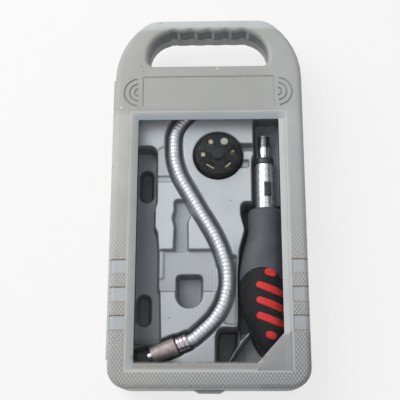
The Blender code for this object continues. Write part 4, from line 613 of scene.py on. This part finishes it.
def rounded(corners, steps=8):
    """Outline in millimetres with filleted corners (x, y, radius)."""
    points = []
    for i, (x, y, radius) in enumerate(corners):
        here = np.array((x, y), float)
        arrive = here - np.array(corners[i - 1][:2], float)
        leave = np.array(corners[(i + 1) % len(corners)][:2], float) - here
        arrive /= np.linalg.norm(arrive)
        leave /= np.linalg.norm(leave)
        cross, dot = arrive[0] * leave[1] - arrive[1] * leave[0], arrive @ leave
        turn = atan2(cross, dot)
        start = here - arrive * radius * tan(abs(turn) / 2)
        inward = np.array((-arrive[1], arrive[0])) * copysign(1, turn)
        centre = start + inward * radius
        for k in range(steps + 1):
            c, s = cos(turn * k / steps), sin(turn * k / steps)
            spoke = start - centre
            points.append(centre + np.array((c * spoke[0] - s * spoke[1], s * spoke[0] + c * spoke[1])))
    return np.array(points)


def box_outline(x0, x1, y0, y1, r):
    return rounded([(x0, y0, r), (x1, y0, r), (x1, y1, r), (x0, y1, r)])


# ---- Lid: rim fillet and scallops of the hand opening, half-ring grooves, rib panels ----

LID_TOP = 48.0
OPENING = (-54.3, 54.3, 157.6, 192.2)      # left, right, low and high edges
SCALLOP_DEPTH, SCALLOP_REACH = 1.7, 44.0
ARC_STEPS, TOP_STEPS = 14, 96


def opening_ring(grow, z, scallop=1.0):
    """The hand opening's outline, let out by grow at its top and sides and by a third of it below."""
    left, right, low, high = OPENING
    top_r, low_r = 24.0 + grow, 6.0 + grow * 0.5
    corners = rounded([(left - grow, low - grow * 0.33, low_r), (right + grow, low - grow * 0.33, low_r),
                       (right + grow, high + grow, top_r), (left - grow, high + grow, top_r)], ARC_STEPS)
    turn = 3 * (ARC_STEPS + 1)
    start, end = corners[turn - 1], corners[turn]      # right and left end of the top edge
    top = [start + (end - start) * k / TOP_STEPS for k in range(1, TOP_STEPS)]
    points = []
    for x, y in list(corners[:turn]) + top + list(corners[turn:]):
        bump = 0.0
        if y > high + grow - 6.0 and abs(x) < SCALLOP_REACH:
            wave = 0.5 + 0.5 * cos(2 * pi * x / SCALLOP_PITCH)
            fade = min(1.0, (SCALLOP_REACH - abs(x)) / 6.0)
            bump = SCALLOP_DEPTH * wave ** 1.6 * fade * scallop
        points.append(at(x, y + bump, z))
    return points


def rim_tool():
    """Solid between the opening's wall and a fillet that widens towards the lid's face."""
    radius = 4.2
    levels = [(29.0, 0.0), (LID_TOP - radius, 0.0)]
    for k in range(1, 11):
        angle = pi / 2 * k / 10
        levels.append((LID_TOP - radius + radius * sin(angle), radius * (1 - cos(angle))))
    levels.append((LID_TOP + 1.0, radius))
    return raw_mesh("rim_tool", *skin([opening_ring(grow, z, 1.0 - grow / radius) for z, grow in levels]))


def groove_tool():
    """Half-ring grooves beside the name plate."""
    section = ((-1.1, 0.3), (1.1, 0.3), (0.5, -0.75), (-0.5, -0.75))
    parts = []
    for sign in (-1, 1):
        for radius in (3.6, 8.2, 13.0):
            rings = []
            for k in range(37):
                angle = radians(-83 + 166 * k / 36)
                c, s = cos(angle) * sign, sin(angle)
                rings.append([at(61.9 * sign + (radius + d) * c, 131.6 + (radius + d) * s, LID_TOP + z)
                              for d, z in section])
            parts.append(skin(rings))
    return solidify("groove_tool", *parts)


def panel_tool():
    """Three shallow panels in each long border, following the case's rounded edge."""
    depth, edge, centre_x, centre_z = 0.45, 5.0, 78.8, 43.0
    parts = []
    for sign in (-1, 1):
        for low, high in RIB_BANDS:
            inner = [(RIB_INNER_X, LID_TOP - depth)]
            outer = [(RIB_INNER_X, LID_TOP + 1.0)]
            for k in range(7):
                angle = radians(52 * k / 6)
                c, s = cos(angle), sin(angle)
                inner.append((centre_x + (edge - depth) * s, centre_z + (edge - depth) * c))
                outer.append((centre_x + (edge + 1) * s, centre_z + (edge + 1) * c))
            section = inner + outer[::-1]
            parts.append(skin([[at(sign * x, y, z) for x, z in section] for y in (low, high)]))
    return solidify("panel_tool", *parts)


def make_lid():
    lid = carved(nodes["lid_shell"], "lid_moulding", [rim_tool(), groove_tool(), panel_tool()])
    return dress(lid, "case", "lid", "case_plastic", "lid_shell")


# ---- Tray ----

def inside(px, py, outline):
    """Which grid points lie in an outline."""
    hit = np.zeros(px.shape, bool)
    ax, ay = outline[:, 0], outline[:, 1]
    bx, by = np.roll(ax, -1), np.roll(ay, -1)
    for x0, y0, x1, y1 in zip(ax, ay, bx, by):
        if y0 == y1:
            continue
        crosses = (y0 > py) != (y1 > py)
        hit ^= crosses & (px < (x1 - x0) * (py - y0) / (y1 - y0) + x0)
    return hit


def blur(field, sigma_cells):
    """Gaussian blur of a grid, its border repeated."""
    reach = int(3 * sigma_cells) + 1
    kernel = np.exp(-0.5 * (np.arange(-reach, reach + 1) / sigma_cells) ** 2)
    kernel /= kernel.sum()
    for axis in (0, 1):
        pad = [(reach, reach) if a == axis else (0, 0) for a in (0, 1)]
        padded = np.pad(field, pad, mode="edge")
        size = field.shape[axis]
        field = sum(w * np.take(padded, range(k, k + size), axis=axis) for k, w in enumerate(kernel))
    return field


ROUTE = [
    (-3.0, -75.6), (4.9, -67.2), (11.6, -56.0), (15.2, -43.2), (15.8, -31.5), (14.3, -20.3), (10.6, -8.4),
    (5.0, 4.2), (-1.0, 15.0), (-7.6, 25.9), (-14.2, 37.8), (-20.1, 48.0), (-25.9, 59.2), (-30.1, 72.4),
    (-31.3, 85.8), (-30.4, 99.0), (-25.2, 109.0), (-16.0, 118.2), (-5.0, 125.0), (8.0, 129.2),
]
SHAFT_Z = 28.0
OUT_TURN = radians(22)
OUT_AXIS = np.array((-cos(OUT_TURN), -sin(OUT_TURN)))
OUT_MOUTH = np.array((-18.3, -87.0))
IN_MOUTH = np.array((22.0, 130.0))
LEAD = 4.6


def shaft_line(step, beyond=0.0):
    """The hose's centre line seen from above, at an even step, in millimetres."""
    knots = [OUT_MOUTH - OUT_AXIS * LEAD] + [np.array(p) for p in ROUTE] + [IN_MOUTH - np.array((LEAD, 0))]
    ends = [2 * knots[0] - knots[1]] + knots + [2 * knots[-1] - knots[-2]]
    fine = [OUT_MOUTH + OUT_AXIS * beyond]
    for p0, p1, p2, p3 in zip(ends, ends[1:], ends[2:], ends[3:]):
        for k in range(24):
            t = k / 24
            fine.append(0.5 * (2 * p1 + (p2 - p0) * t + (2 * p0 - 5 * p1 + 4 * p2 - p3) * t ** 2
                               + (3 * p1 - p0 - 3 * p2 + p3) * t ** 3))
    fine += [knots[-1], IN_MOUTH + np.array((beyond, 0))]
    fine = np.array(fine)
    travelled = np.r_[0, np.cumsum(np.linalg.norm(np.diff(fine, axis=0), axis=1))]
    count = max(2, round(travelled[-1] / step))
    goals = np.linspace(0, travelled[-1], count + 1)
    return np.c_[np.interp(goals, travelled, fine[:, 0]), np.interp(goals, travelled, fine[:, 1])]


def band(line, half_width):
    along = np.gradient(line, axis=0)
    along /= np.linalg.norm(along, axis=1)[:, None]
    across = np.c_[-along[:, 1], along[:, 0]] * half_width
    return np.vstack([line - across, (line + across)[::-1]])


def output_band(start, end, half_width):
    return band(np.array([OUT_MOUTH + OUT_AXIS * start, OUT_MOUTH + OUT_AXIS * end]), half_width)


def tray_areas():
    """(outline, height) of each step of the tray, later ones over earlier ones."""
    round_room = np.array([(8.5 + 21.3 * cos(a), 77.2 + 21.3 * sin(a))
                           for a in np.linspace(0, 2 * pi, 64, endpoint=False)])
    return [
        (rounded([(-66, -90, 5), (-41.5, -90, 4), (-42, -70, 20), (-43.2, -30, 20), (-44.6, -5, 8),
                  (-45.6, 6.5, 4), (-48, 11.5, 4), (-48, 28.5, 4), (-46.4, 33.5, 4), (-46.6, 86, 7),
                  (-66, 86, 4)]), 14.0),
        (box_outline(-62.2, -50.9, 39.4, 68.1, 5.4), 6.0),
        (box_outline(-62.8, -51.5, -72.4, -46.1, 5.4), 6.0),
        (rounded([(-46, 59.5, 2), (-33, 59.5, 2), (-36, 86, 2), (-46, 86, 6)]), 30.0),
        (box_outline(-46, -28, 53.2, 59, 1), 28.0),
        (rounded([(-44.4, -45, 3), (7.2, -45, 3), (6.6, -9, 3), (-44.4, -9, 3)]), 27.0),
        (box_outline(-43.8, -39.2, -34, -9.6, 1.5), 29.0),
        (box_outline(2.8, 6.4, -44.4, -21.6, 1.5), 29.0),
        (rounded([(-30.4, -10, 2), (-18.2, -10, 2), (-18.6, 16, 3), (-14, 26, 3), (-19, 36, 3),
                  (-30.4, 36, 3), (-29.6, 27, 3), (-31.6, 20, 3), (-29.6, 12, 3)]), 25.0),
        (rounded([(-27.6, -58.6, 10.5), (-6.2, -58.6, 10.5), (-6.2, -31, 3), (-27.6, -31, 3)]), 14.0),
        (rounded([(12, -72, 3), (23.6, -74, 3), (24.2, -14, 3), (16, -14, 3)]), 26.0),
        (band(shaft_line(3.0), 7.4), 23.0),
        (box_outline(12, 62, 121.5, 138.5, 3), 21.6),
        (output_band(-2.5, 9.4, 8.1), 20.2),
        (output_band(8.4, 46, 8.8), 19.8),
        (rounded([(15.4, -107, 1), (49, -107, 2), (47, -101, 6), (41, -93, 6), (36.5, -79.6, 1)]), 17.0),
        (rounded([(6.4, -107, 2), (14, -107, 2), (24.6, -89.5, 2), (24.6, -76.8, 1), (8.2, -76.8, 3),
                  (6.4, -84, 3)]), 5.0),
        (rounded([(25.4, -87.2, 0.6), (33.2, -80, 0.6), (25.4, -80, 0.6)]), 18.0),
        (rounded([(40.9, 88, 2), (40.9, 77.5, 2), (39, 72, 4), (39, 30, 2), (65.2, 30, 2), (65.2, 112, 4),
                  (40.9, 112, 4)]), 14.2),
        (rounded([(35.2, -79.5, 2), (38.9, -89.5, 6), (44, -97.5, 6), (49.5, -102.5, 4), (58, -103, 6),
                  (68.6, -88, 8), (69.4, -50, 20), (68.8, 20, 10), (67.2, 33.2, 4), (29, 33.2, 4),
                  (29, 22.5, 4),
                  (32.4, 9, 8), (27.6, -8.5, 8), (25.4, -30, 10), (25.2, -79.5, 3)]), 4.6),
        (rounded([(20, 82, 1.5), (41.5, 82, 1), (41.5, 87.8, 1), (20, 87.8, 1.5)]), 24.0),
        (rounded([(20, 66, 1.5), (36, 66, 2), (36, 72.6, 1), (20, 72.6, 1.5)]), 28.0),
        (round_room, 7.6),
    ]


def make_tray():
    """The tray as one soft-edged moulding: its steps are laid on a fine grid and their edges rounded."""
    cell, fine, top_z, foot_z, softness = 0.6, 3, 32.0, 2.9, 0.7
    xs = np.linspace(-79.3, 79.3, round(158.6 / cell) + 1)
    ys = np.linspace(-122.5, 146.5, round(269 / cell) + 1)
    fx = np.linspace(xs[0], xs[-1], (len(xs) - 1) * fine + 1)
    fy = np.linspace(ys[0], ys[-1], (len(ys) - 1) * fine + 1)
    px, py = np.meshgrid(fx, fy, indexing="ij")
    height = np.full(px.shape, top_z)
    for outline, level in tray_areas():
        low, high = outline.min(0) - 0.5, outline.max(0) + 0.5
        ix = np.searchsorted(fx, low[0]), np.searchsorted(fx, high[0])
        iy = np.searchsorted(fy, low[1]), np.searchsorted(fy, high[1])
        part = (slice(*ix), slice(*iy))
        hit = inside(px[part], py[part], outline)
        height[part] = np.where(hit, level, height[part])
    height = blur(height, softness / (cell / fine))[::fine, ::fine]
    gx, gy = np.meshgrid(xs, ys, indexing="ij")
    for cx, cy, r in ((-66.8, -110, 12.5), (66.8, -110, 12.5), (-74.8, 142, 4.5), (74.8, 142, 4.5)):
        corner = (gx * np.sign(cx) > abs(cx)) & ((gy - cy) * np.sign(cy) > 0)
        reach = np.hypot(gx - cx, gy - cy)
        pull = np.where(corner & (reach > r), r / np.maximum(reach, 1e-6), 1.0)
        gx, gy = cx + (gx - cx) * pull, cy + (gy - cy) * pull
    n, m = gx.shape
    top = [at(x, y, z) for x, y, z in zip(gx.ravel(), gy.ravel(), height.ravel())]
    faces = [(k, k + m, k + m + 1, k + 1) for i in range(n - 1) for k in range(i * m, i * m + m - 1)]
    rim = ([i * m for i in range(n)] + [(n - 1) * m + j for j in range(1, m)]
           + [i * m + m - 1 for i in range(n - 2, -1, -1)] + [j for j in range(m - 2, 0, -1)])
    base = len(top)
    vertices = top + [Vector((top[k].x, top[k].y, foot_z * MM)) for k in rim]
    for k in range(len(rim)):
        j = (k + 1) % len(rim)
        faces.append((rim[k], base + k, base + j, rim[j]))
    faces.append(tuple(base + k for k in range(len(rim))))
    return dress(raw_mesh("tray_moulding", vertices, faces), "tray", "case", "tray_plastic", "tool_tray")


# ---- Driver ----

DRIVER_X, DRIVER_Z, GRIP_HALF = 50.0, 23.0, 18.0
FORWARD = (0, 1, 0)
HANDLE_STATIONS = (            # y, left and right edge x, height as a share of the thickest
    (28.4, 37.0, 63.0, 0.72), (26.0, 34.9, 65.1, 0.82), (18.0, 34.3, 65.7, 0.85), (8.0, 34.3, 65.7, 0.86),
    (-8.0, 30.0, 66.0, 0.92), (-22.0, 27.2, 66.3, 0.98), (-38.0, 26.3, 66.4, 1.0), (-52.0, 26.8, 66.4, 1.0),
    (-66.0, 30.0, 66.2, 0.98), (-79.0, 35.6, 65.6, 0.9), (-88.0, 40.0, 64.0, 0.76), (-95.0, 45.0, 61.0, 0.53),
    (-99.0, 49.5, 56.5, 0.28),
)
GRIP_PADS = (                  # centre x and y, length, slant in degrees
    (52.2, -30.8, 10.2, -16.0), (52.3, -44.7, 26.0, -20.5), (52.3, -57.6, 26.0, -20.5),
    (52.3, -70.6, 26.0, -20.5), (52.0, -83.4, 9.6, -18.0),
)
DOME_X, DOME_Y, DOME_RADIUS = 44.5, -47.5, 21.0
PAD_HALF_WIDTH, PAD_RISE = 3.1, 0.9
HANDLE_FRONT, HANDLE_END = 28.4, -99.0


def handle_at(y):
    """Centre x, half width and half height of the handle at y, on a smooth curve through the stations."""
    rows = [(at_y, (left + right) / 2, (right - left) / 2, share * GRIP_HALF)
            for at_y, left, right, share in HANDLE_STATIONS]
    y = min(max(y, rows[-1][0]), rows[0][0])
    k = max(i for i in range(len(rows) - 1) if rows[i][0] >= y)
    a, b = rows[k], rows[k + 1]
    before, after = rows[max(k - 1, 0)], rows[min(k + 2, len(rows) - 1)]
    t = (a[0] - y) / (a[0] - b[0])
    result = []
    for c in (1, 2, 3):
        slope_a = (b[c] - before[c]) / (before[0] - b[0]) * (a[0] - b[0])
        slope_b = (after[c] - a[c]) / (a[0] - after[0]) * (a[0] - b[0])
        result.append((2 * t ** 3 - 3 * t ** 2 + 1) * a[c] + (t ** 3 - 2 * t ** 2 + t) * slope_a
                      + (3 * t ** 2 - 2 * t ** 3) * b[c] + (t ** 3 - t ** 2) * slope_b)
    return result


def handle_point(y, angle, lift=0.0):
    """A point on the handle, angle turning from the top towards +X."""
    centre, half_width, half_height = handle_at(y)
    return at(centre + (half_width + lift) * sin(angle), y,
              DRIVER_Z + (half_height + lift) * cos(angle))


def grip_edge(angle):
    """y of the rubber's front edge: a dome seen from above, and its mirror image underneath."""
    centre, half_width, _ = handle_at(DOME_Y + DOME_RADIUS / 3)
    limit = 0.9 * DOME_RADIUS
    aside = max(-limit, min(limit, centre + half_width * sin(angle) - DOME_X))
    return DOME_Y + sqrt(DOME_RADIUS ** 2 - aside ** 2)


def handle_rings(start, end, rows, lift, sides=96):
    """Rings of the handle between two edges; lift may change with the distance from the start."""
    edges = [(start(angle), end(angle), angle) for angle in (-2 * pi * k / sides for k in range(sides))]
    return [[handle_point(y0 + (y1 - y0) * row, angle, lift(abs(y1 - y0) * row)) for y0, y1, angle in edges]
            for row in rows]


def even(count):
    return [k / count for k in range(count + 1)]


def edge_rows(radius, length, count):
    """Shares of a length that lie close together over its first radius."""
    return [radius * (1 - cos(pi / 2 * k / 4)) / length for k in range(5)] + [
        (radius + (length - radius) * k / count) / length for k in range(1, count + 1)]


def make_handle():
    """Hard body with its rounded front and the step that the rubber sits in, bored for the barrel."""
    front_radius, groove = 1.6, 0.8
    edge = lambda a: grip_edge(a) + 0.35
    length = HANDLE_FRONT - DOME_Y - DOME_RADIUS
    rise = lambda d: -front_radius + sqrt(max(front_radius ** 2 - max(front_radius - d, 0) ** 2, 0))
    hard = handle_rings(lambda a: HANDLE_FRONT, edge, edge_rows(front_radius, length, 40), rise)
    step = handle_rings(edge, lambda a: edge(a) - 0.1, [0.0, 1.0], lambda d: -groove if d < 0.05 else -2.3)
    under = handle_rings(lambda a: edge(a) - 0.1, lambda a: HANDLE_END + 3.2, even(16)[1:], lambda d: -2.3)
    body = raw_mesh("handle_blank", *skin(hard + step + under))
    bore = lathe("handle_bore", [(0, -14), (8.25, -14), (8.25, 5), (0, 5)],
                 at(DRIVER_X, HANDLE_FRONT, DRIVER_Z), FORWARD)
    made = carved(body, "handle_body", [bore], 38.0)
    bpy.data.objects.remove(body)
    return dress(made, "dark", "case", "dark_plastic", "handle_core")


def make_sleeve():
    """Rubber sleeve: thin at its domed front edge, closed and rounded over the butt."""
    soft = 1.1
    swell = lambda d: -soft + sqrt(max(soft ** 2 - max(soft - d, 0) ** 2, 0))
    outer = handle_rings(grip_edge, lambda a: HANDLE_END, edge_rows(soft, 60.0, 60), swell)
    inner = handle_rings(grip_edge, lambda a: HANDLE_END + 3.0, even(16), lambda d: -2.0)
    made = raw_mesh("rubber_sleeve", *skin(inner[::-1] + outer), sharp=50)
    return dress(made, "grip", "case", "grip_rubber", "grip_sleeve")


def make_pad(index, spec):
    """One raised pad: a slanted stadium laid over the rubber, its edge rounded."""
    x, y, length, slant = spec
    along = np.array((cos(radians(slant)), sin(radians(slant))))
    across = np.array((-along[1], along[0]))
    straight = length / 2 - PAD_HALF_WIDTH

    def place(share, turn, lift):
        reach = share * PAD_HALF_WIDTH
        run = straight * max(-1.0, min(1.0, 2.2 * cos(turn)))
        point = np.array((x, y)) + along * (run * min(1.0, share * 4) + reach * cos(turn)) \
            + across * reach * sin(turn)
        centre, half_width, half_height = handle_at(point[1])
        aside = max(-0.985, min(0.985, (point[0] - centre) / half_width))
        up = sqrt(1 - aside * aside)
        base = Vector((centre + half_width * aside, point[1], DRIVER_Z + half_height * up))
        normal = Vector((aside / half_width, 0, up / half_height)).normalized()
        return at(*(base + normal * lift))

    sides = 72
    rows = [(0.02, -0.5), (1.0, -0.5), (1.0, 0.15)]
    for k in range(1, 6):
        angle = pi / 2 * k / 5
        rows.append((1.0 - 0.22 * (1 - cos(angle)), 0.15 + (PAD_RISE - 0.15) * sin(angle)))
    rows += [(0.6, PAD_RISE), (0.4, PAD_RISE), (0.2, PAD_RISE), (0.02, PAD_RISE)]
    rings = [[place(share, 2 * pi * k / sides, lift) for k in range(sides)] for share, lift in rows]
    made = raw_mesh(f"rubber_pad_{index}", *skin(rings))
    return dress(made, "pad", "case", "pad_rubber", f"grip_pad_{index}")


def make_barrel():
    """Plated barrel with the selector's slot, the ring in front of it and the bit holder."""
    tail = HANDLE_FRONT - 13.0
    length = 69.8 - tail
    profile = fillet([(6.6, length * 0.5), (6.6, 0), (8.1, 0), (8.1, length), (2.95, length),
                      (2.95, length - 2), (6.6, length - 2), (6.6, length * 0.5)], 0.45)[:-1]
    blank = lathe("barrel_blank", profile, at(DRIVER_X, tail, DRIVER_Z), FORWARD, 96)
    slot_half, slot_reach = 1.85, 5.5
    turn = Matrix.Rotation(radians(13), 4, "Y")
    outline = box_outline(-slot_half, slot_half, -slot_reach, slot_reach, 0.15)
    slot = raw_mesh("slot_tool", *skin([[at(DRIVER_X, 45.9, DRIVER_Z) + turn @ (Vector((px, py, z)) * MM)
                                         for px, py in outline] for z in (5.6, 10.5)]))
    barrel = carved(blank, "chrome_barrel", [slot], 32.0)
    bpy.data.objects.remove(blank)
    dress(barrel, "chrome", "case", "chrome", "ratchet_barrel")

    ring = fillet([(2.95, 2.5), (2.95, 0), (8.6, 0), (8.6, 1.2), (8.15, 1.5), (8.15, 3.9), (8.6, 4.2),
                   (8.6, 5.4), (2.95, 5.4), (2.95, 2.5)], 0.4)[:-1]
    collar = lathe("front_ring", ring, at(DRIVER_X, 70.1, DRIVER_Z), FORWARD, 96)
    dress(collar, "black", "case", "black_plastic", "barrel_ring")

    outer = fillet([(0, 4.3), (2.9, 4.3), (2.9, 0.35), (5.35, 0.35), (5.35, 1.4), (5.0, 1.7), (5.0, 2.5),
                    (5.35, 2.8), (5.35, 10.2), (5.05, 10.6), (5.35, 11.0), (5.35, 21.2), (3.9, 21.2)], 0.35)
    profile = outer + [(3.3, 20.7), (3.3, 10.2), (0, 10.2)]
    nose = lathe("nose_sleeve", profile, at(DRIVER_X, 75.5, DRIVER_Z), FORWARD, 72, hex_from=len(outer))
    dress(nose, "nose", "driver_spindle", "chrome", "bit_holder")


# ---- Flexible shaft and its fittings ----

def make_hose():
    """The metal hose: rounded ribs at a 3.45 mm pitch round the shaft's centre line."""
    pitch, per_rib, sides = 3.45, 10, 32
    valley, rib, bore_radius = 4.0, 0.6, 2.9
    line = shaft_line(pitch / per_rib, 6.0)
    along = np.gradient(line, axis=0)
    along /= np.linalg.norm(along, axis=1)[:, None]
    across = np.c_[-along[:, 1], along[:, 0]]
    turns = [2 * pi * j / sides for j in range(sides)]

    def ring(point, side, radius):
        return [at(*(point + side * radius * cos(a)), SHAFT_Z + radius * sin(a)) for a in turns]

    def rib_radius(phase):
        return valley + rib * min(1.0, 1.5 * max(sin(pi * phase), 0.0) ** 0.8)

    rings = [ring(point, side, rib_radius((k % per_rib) / per_rib))
             for k, (point, side) in enumerate(zip(line, across))]
    bore = [ring(point, side, bore_radius)
            for point, side in zip(line[::per_rib][::-1], across[::per_rib][::-1])]
    vertices, faces = skin(rings + bore, capped=False)
    last = (len(rings) + len(bore) - 1) * sides
    for k in range(sides):
        j = (k + 1) % sides
        faces.append((last + k, last + j, j, k))
    return dress(raw_mesh("hose_ribs", vertices, faces), "hose", "case", "chrome", "flex_casing")


def make_fittings():
    """Crimped ferrules, the output end's hand collar and its socket."""
    out = (*OUT_AXIS, 0)
    mouth = at(*OUT_MOUTH, SHAFT_Z)
    ferrule = [(4.9, 3.0), (4.9, 0), (5.9, 0), (5.9, 2.6), (5.35, 3.0), (5.35, 3.5), (5.9, 3.9), (5.9, 6.2),
               (5.55, 6.6), (5.9, 7.0), (5.9, 9.4), (2.65, 9.4), (2.65, 6.3), (4.9, 6.3), (4.9, 3.0)]
    dress(lathe("crimp_input", fillet(ferrule, 0.4)[:-1], at(*IN_MOUTH, SHAFT_Z), (1, 0, 0), 72), "bright",
          "case", "steel", "ferrule_input")
    # the output end's ferrule is the same, its outer rings 1.4 mm larger
    wide = fillet([(r + 1.4 if r > 5 else r, y) for r, y in ferrule], 0.5)[:-1]
    dress(lathe("crimp_output", wide, mouth, out, 72), "crimp", "case", "steel", "ferrule_output")

    start, end = 9.7, 22.6      # of the collar, from the ferrule's mouth, and its length
    floor = end - 14.35
    profile = fillet([(2.65, 4.0), (2.65, 0), (4.9, 0), (4.9, 0.5), (7.0, 0.7), (7.6, 1.5), (7.3, 12.0),
                      (6.9, end), (4.65, end), (4.65, floor), (2.65, floor), (2.65, 4.0)], 0.5)[:-1]
    dress(lathe("hand_collar", profile, at(*(OUT_MOUTH + OUT_AXIS * start), SHAFT_Z), out, 96), "warm",
          "shaft_output", "steel", "socket_collar")

    rear = start + end - 14.0
    outer = fillet([(0, 0), (4.3, 0), (4.3, 17.2), (3.7, 17.2)], 0.5)
    profile = outer + [(3.3, 16.8), (3.3, 6.2), (0, 6.2)]
    dress(lathe("drive_socket", profile, at(*(OUT_MOUTH + OUT_AXIS * rear), SHAFT_Z), out, 72,
                hex_from=len(outer)), "bright", "shaft_output", "chrome", "output_socket")


# ---- Bit holder puck ----

PUCK = (8.5, 77.2)


def make_puck():
    """Smoked cap with a rounded shoulder and its one hole, the rivet, and a pale plug in the open pocket."""
    base = 35.7
    profile = fillet([(2.75, 0.6), (2.75, 0), (18.9, 0), (18.9, -5), (20.4, -5), (20.4, 0.2), (19.9, 1.1),
                      (18.8, 1.6), (2.75, 1.6), (2.75, 0.6)], 0.4)[:-1]
    blank = lathe("cap_blank", profile, at(*PUCK, base), (0, 0, 1), 144)
    angle = radians(66)
    spot = (PUCK[0] + 13.4 * cos(angle), PUCK[1] + 13.4 * sin(angle))
    hole = lathe("cap_hole", [(0, -1), (3.8, -1), (3.8, 3), (0, 3)], at(*spot, base), (0, 0, 1), 48)
    cap = carved(blank, "smoked_cap", [hole], 32.0)
    bpy.data.objects.remove(blank)
    dress(cap, "smoked", "holder_cap", "smoked_plastic", "puck_cover")
    plug = fillet([(0, 0), (3.5, 0), (3.5, 3.4), (0, 3.4)], 0.6)
    made = lathe("pocket_plug", plug, at(*spot, 31.8), (0, 0, 1), 48)
    dress(made, "pale", "case", "tray_plastic")
    head = fillet([(0, -9), (2.4, -9), (2.4, 2.2), (5.6, 2.2), (5.6, 2.9), (4.7, 3.4), (0, 3.4)], 0.3)
    rivet = lathe("cap_rivet", head, at(*PUCK, 35.4), (0, 0, 1), 72)
    dress(rivet, "holder", "case", "black_plastic", "puck_rivet")


make_lid()
make_tray()
make_handle()
make_sleeve()
for number, pad in enumerate(GRIP_PADS, 1):
    make_pad(number, pad)
make_barrel()
make_hose()
make_fittings()
make_puck()
softened("selector", "selector_key", 0.35, "black", "selector_slide", "black_plastic")
softened("latch", "latch_plate_soft", 0.4, "shell", "latch_plate", "case_plastic")


# ---- Floor, light and camera ----

GLOW_SHARE = 0.78             # how much of the paper's look is a plain glow, for the studio's rays
SKY_LEVEL = 0.5               # of the sky's light on the surfaces, against what those rays see


def make_floor():
    """White paper under the case."""
    bm = bmesh.new()
    bmesh.ops.create_grid(bm, x_segments=1, y_segments=1, size=4.0)
    mesh = bpy.data.meshes.new("floor")
    bm.to_mesh(mesh)
    bm.free()
    floor = link("floor", mesh)
    floor.location = (0, 0, -0.0004)
    s = Shade("floor_paper", 0.9)
    s.surface(srgb(248, 247, 246), 0.9, 0.0)
    glow = s.node("ShaderNodeEmission")
    s.put(glow.inputs["Color"], srgb(249, 248, 248))
    blend = s.node("ShaderNodeMixShader")
    share = s.product(s.studio_rays(), GLOW_SHARE)
    for index, value in enumerate((share, s.shader.outputs[0], glow.outputs[0])):
        s.put(blend.inputs[index], value)
    s.put(s.tree.nodes["Material Output"].inputs["Surface"], blend.outputs[0])
    mesh.materials.append(s.material)


def make_world():
    """Soft sky, dimmer towards the horizon; mirrors see it as a white studio."""
    world = bpy.data.worlds.new("studio")
    bpy.context.scene.world = world
    world.use_nodes = True
    sky = Nodes(world.node_tree)
    back = sky.tree.nodes["Background"].inputs
    sky.put(back["Color"], (0.965, 0.98, 1.0, 1.0))
    up = sky.parts(sky.node("ShaderNodeTexCoord").outputs["Generated"])[2]
    level = sky.math("ADD", sky.product(sky.studio_rays(), 1.0 - SKY_LEVEL), SKY_LEVEL)
    sky.put(back["Strength"], sky.product(sky.step(up, 0.12, 0.45, 0.38, 1.0), level))


def make_key():
    """One large soft lamp, up and to the left, near enough for its light to fade across the case."""
    lamp = bpy.data.lights.new("key_light", "AREA")
    lamp.shape = "SQUARE"
    lamp.size = 1.44
    lamp.energy = 21.5
    holder = link("key_light", lamp)
    place = Vector((-0.9, 0.68, 1.12))
    holder.location = place
    holder.rotation_euler = (Vector((0, 0, 0.03)) - place).to_track_quat("-Z", "Y").to_euler()


def make_camera():
    """The photograph's view, fitted to the window frame's four corners."""
    lens = bpy.data.cameras.new("photo_view")
    lens.sensor_width = 36.0
    lens.lens = 72.0
    lens.clip_start = 0.01
    camera = link("photo_view", lens)
    right, up, back = (0.9996, 0.0009, -0.0290), (0.0071, 0.9616, 0.2744), (0.0281, -0.2745, 0.9612)
    turned = Matrix((right, up, back)).transposed().to_4x4()
    camera.matrix_world = Matrix.Translation(at(12.079, -157.686, 709.285)) @ turned
    bpy.context.scene.camera = camera


make_floor()
make_world()
make_key()
make_camera()
bpy.context.scene.view_settings.view_transform = "Standard"
